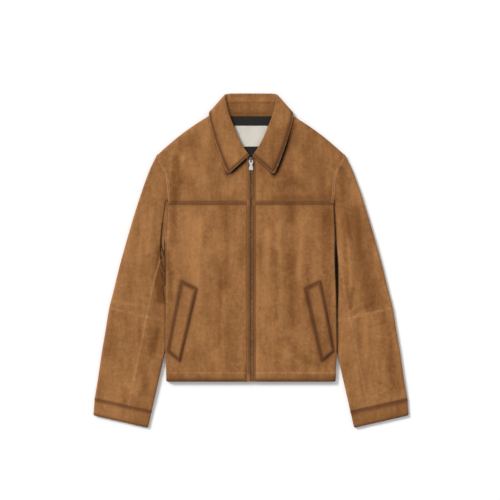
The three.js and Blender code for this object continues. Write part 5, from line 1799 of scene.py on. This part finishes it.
# %% [markdown]
# ## Metals of the zip
#
# The pull is polished nickel, the slider a dark plated metal and the teeth a dull brass. What sets
# them apart is how rough they are as much as their colour, so one function makes all three from two
# colours and a roughness, with a smear of noise for handling.

# %% Metals


def metal(name, dark, light, rough):
    material, shader, place = new_material(name, "zip_metal", Metallic=1.0)
    smear = noise(place, 260.0, 4.0, 0.6)
    give(shader, smear.colour(dark, light), "Base Color")
    give(shader, rough + smear * 0.15, "Roughness")
    bumped(shader, noise(place, 900.0), 0.08, 0.0001)
    return material


nickel = metal("nickel", srgb(205, 205, 202), srgb(240, 240, 238), 0.16)
gunmetal = metal("gunmetal", srgb(70, 62, 52), srgb(120, 108, 92), 0.25)
dull_brass = metal("dull brass", srgb(120, 96, 66), srgb(176, 150, 112), 0.4)
print("metals:", [m.name for m in (nickel, gunmetal, dull_brass)])

# %% [markdown]
# ## Finishes on the pieces
#
# A cutter lays the suede pieces together and dyes them as one lot. In the same way every cloth
# piece takes the one suede, apart from the lining, the label and the tapes. Each could have had its
# own material, but then no two pieces would match at a seam.

# %% Finishes on the pieces
for node, piece in pieces.items():
    finish = {"neck_lining": lining, "neck_label": label_material}.get(node, suede)
    finish = tape_material if node.startswith("zip_tape") else finish
    piece.data.materials.append(finish)
print("pieces in suede:", sum(piece.data.materials[0] is suede for piece in pieces.values()))

# %% Stitches
for key, group in rows.items():
    group = [(p, w) for p, w in group if len(p) > 1]
    points, ways = np.vstack([p for p, _ in group]), np.vstack([w for _, w in group])
    extras[f"stitches_{key}"] = from_nodes(f"stitches_{key}", stitches, points, ways,
                                           {**STITCH, "Seed": STITCH_SEED, "Thread": threads[key]})
    "label" if key == "label" else "suede"

# %% [markdown]
# ## Zip teeth
#
# The teeth of the two sides stand in each other's gaps down the whole front, and only their tops
# show between the strips. There are hundreds of the same small block, so a second node group sets
# one softened block on every point. An Array modifier would do for one side, but the two sides have
# to alternate.

# %% Tooth group
TOOTH = {"Tooth Reach": 0.0012, "Tooth Width": 0.00085, "Tooth Height": 0.0014}


def teeth_tree():
    tree = bpy.data.node_groups.new("teeth", "GeometryNodeTree")
    given = group_inputs(tree, [
        *((key, "NodeSocketFloat", value) for key, value in TOOTH.items()),
        ("Metal", "NodeSocketMaterial", None)]).outputs
    size = make(tree, "ShaderNodeCombineXYZ", {
        "X": given["Tooth Reach"], "Y": given["Tooth Width"], "Z": given["Tooth Height"]}).outputs[0]
    block = make(tree, "GeometryNodeMeshCube",
                 {"Size": size, "Vertices X": 3, "Vertices Y": 2, "Vertices Z": 2})
    soft = make(tree, "GeometryNodeSubdivisionSurface",
                {"Mesh": block.outputs[0], "Level": 1, "Edge Crease": 0.6})
    placed = make(tree, "GeometryNodeInstanceOnPoints",
                  {"Points": given["Geometry"], "Instance": soft.outputs[0]})
    finish_group(tree, placed.outputs[0], given["Metal"])
    return tree


teeth = teeth_tree()
print("nodes in the tooth group:", len(teeth.nodes))

# %% Zip teeth
TOOTH_PITCH = 1.9
tooth_y = np.arange(HEM_Y + 6, ZIP_TOP_Y - 8, TOOTH_PITCH)
tooth_side = np.where(np.arange(len(tooth_y)) % 2, 1, -1)
tooth_z = front_top(0 * tooth_y, tooth_y, False) - 1.2
tooth_points = np.column_stack([tooth_side * 0.35, tooth_y, tooth_z])
for name, side in (("left", -1), ("right", 1)):
    own = tooth_points[tooth_side == side]
    extras[f"zip_teeth_{name}"] = from_nodes(f"zip_teeth_{name}", teeth, own, 0 * own,
                                             {**TOOTH, "Metal": dull_brass})

# %% [markdown]
# ## Slider and pull
#
# The slider is a cast block with a bridge, and the pull a small polished plate that hangs on it.
# Their solids already have the right forms, but with knife edges that catch no light. So a copy of
# each solid has its loose triangles merged, its flat faces joined and its edges bevelled. Modelling
# them again would risk a pull that no longer fits.

# %% Slider and pull


def rounded_metal(node, radius, finish):
    """The solid's form as clean faces, with its edges rounded."""
    piece = bpy.data.objects.new(f"{node}_metal", frame["nodes"][node].data.copy())
    bpy.context.scene.collection.objects.link(piece)
    bm = bmesh.new()
    bm.from_mesh(piece.data)
    bmesh.ops.remove_doubles(bm, verts=bm.verts, dist=1e-6)
    bmesh.ops.dissolve_limit(bm, angle_limit=math.radians(2), verts=bm.verts, edges=bm.edges)
    sharp = [e for e in bm.edges if len(e.link_faces) == 2 and e.calc_face_angle() > math.radians(25)]
    bmesh.ops.bevel(bm, geom=sharp, offset=radius * MM, segments=3, profile=0.5,
                    affect="EDGES", clamp_overlap=True)
    bmesh.ops.recalc_face_normals(bm, faces=bm.faces)
    bm.to_mesh(piece.data)
    bm.free()
    piece.data.materials.clear()
    piece.data.materials.append(finish)
    piece.data.shade_smooth()
    piece.data.set_sharp_from_angle(angle=math.radians(50))
    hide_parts(node)
    print(piece.name, "faces", len(piece.data.polygons))
    return piece


slider = rounded_metal("zip_slider", 0.22, gunmetal)
pull = rounded_metal("zip_pull", 0.3, nickel)

# %% [markdown]
# ## Bodies and replaced solids
#
# The garment is one rigid body and the pull tab the other. Each cloth piece takes the place of its
# solid, which is hidden, and half the area of its closed wall, in square metres, is printed beside
# the size of its solid's box.

# %% Pieces on the bodies
for node, piece in pieces.items():
    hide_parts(node)
    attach(piece, "garment")
for piece in [*extras.values(), slider]:
    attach(piece, "garment")
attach(pull, "zip_pull")
print("pieces on the garment:", len(pieces) + len(extras) + 1, "and on the pull: 1")

# %% Measured areas


def outer_area(piece):
    """Half of the closed wall's whole area, in square metres."""
    mesh = piece.data
    area = np.empty(len(mesh.polygons), np.float32)
    mesh.polygons.foreach_get("area", area)
    return float(area.sum()) / 2


for node, piece in pieces.items():
    low, high = (np.array(v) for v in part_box(node))
    print(node, "area", round(outer_area(piece), 4), "box", (high - low).round(3))

# %% [markdown]
# ## Finish
#
# The dressed jacket has to fill the same box as its solids. Its box is printed last.

# %% Finish
low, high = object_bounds()
print("visual size", [round(v, 4) for v in high - low])
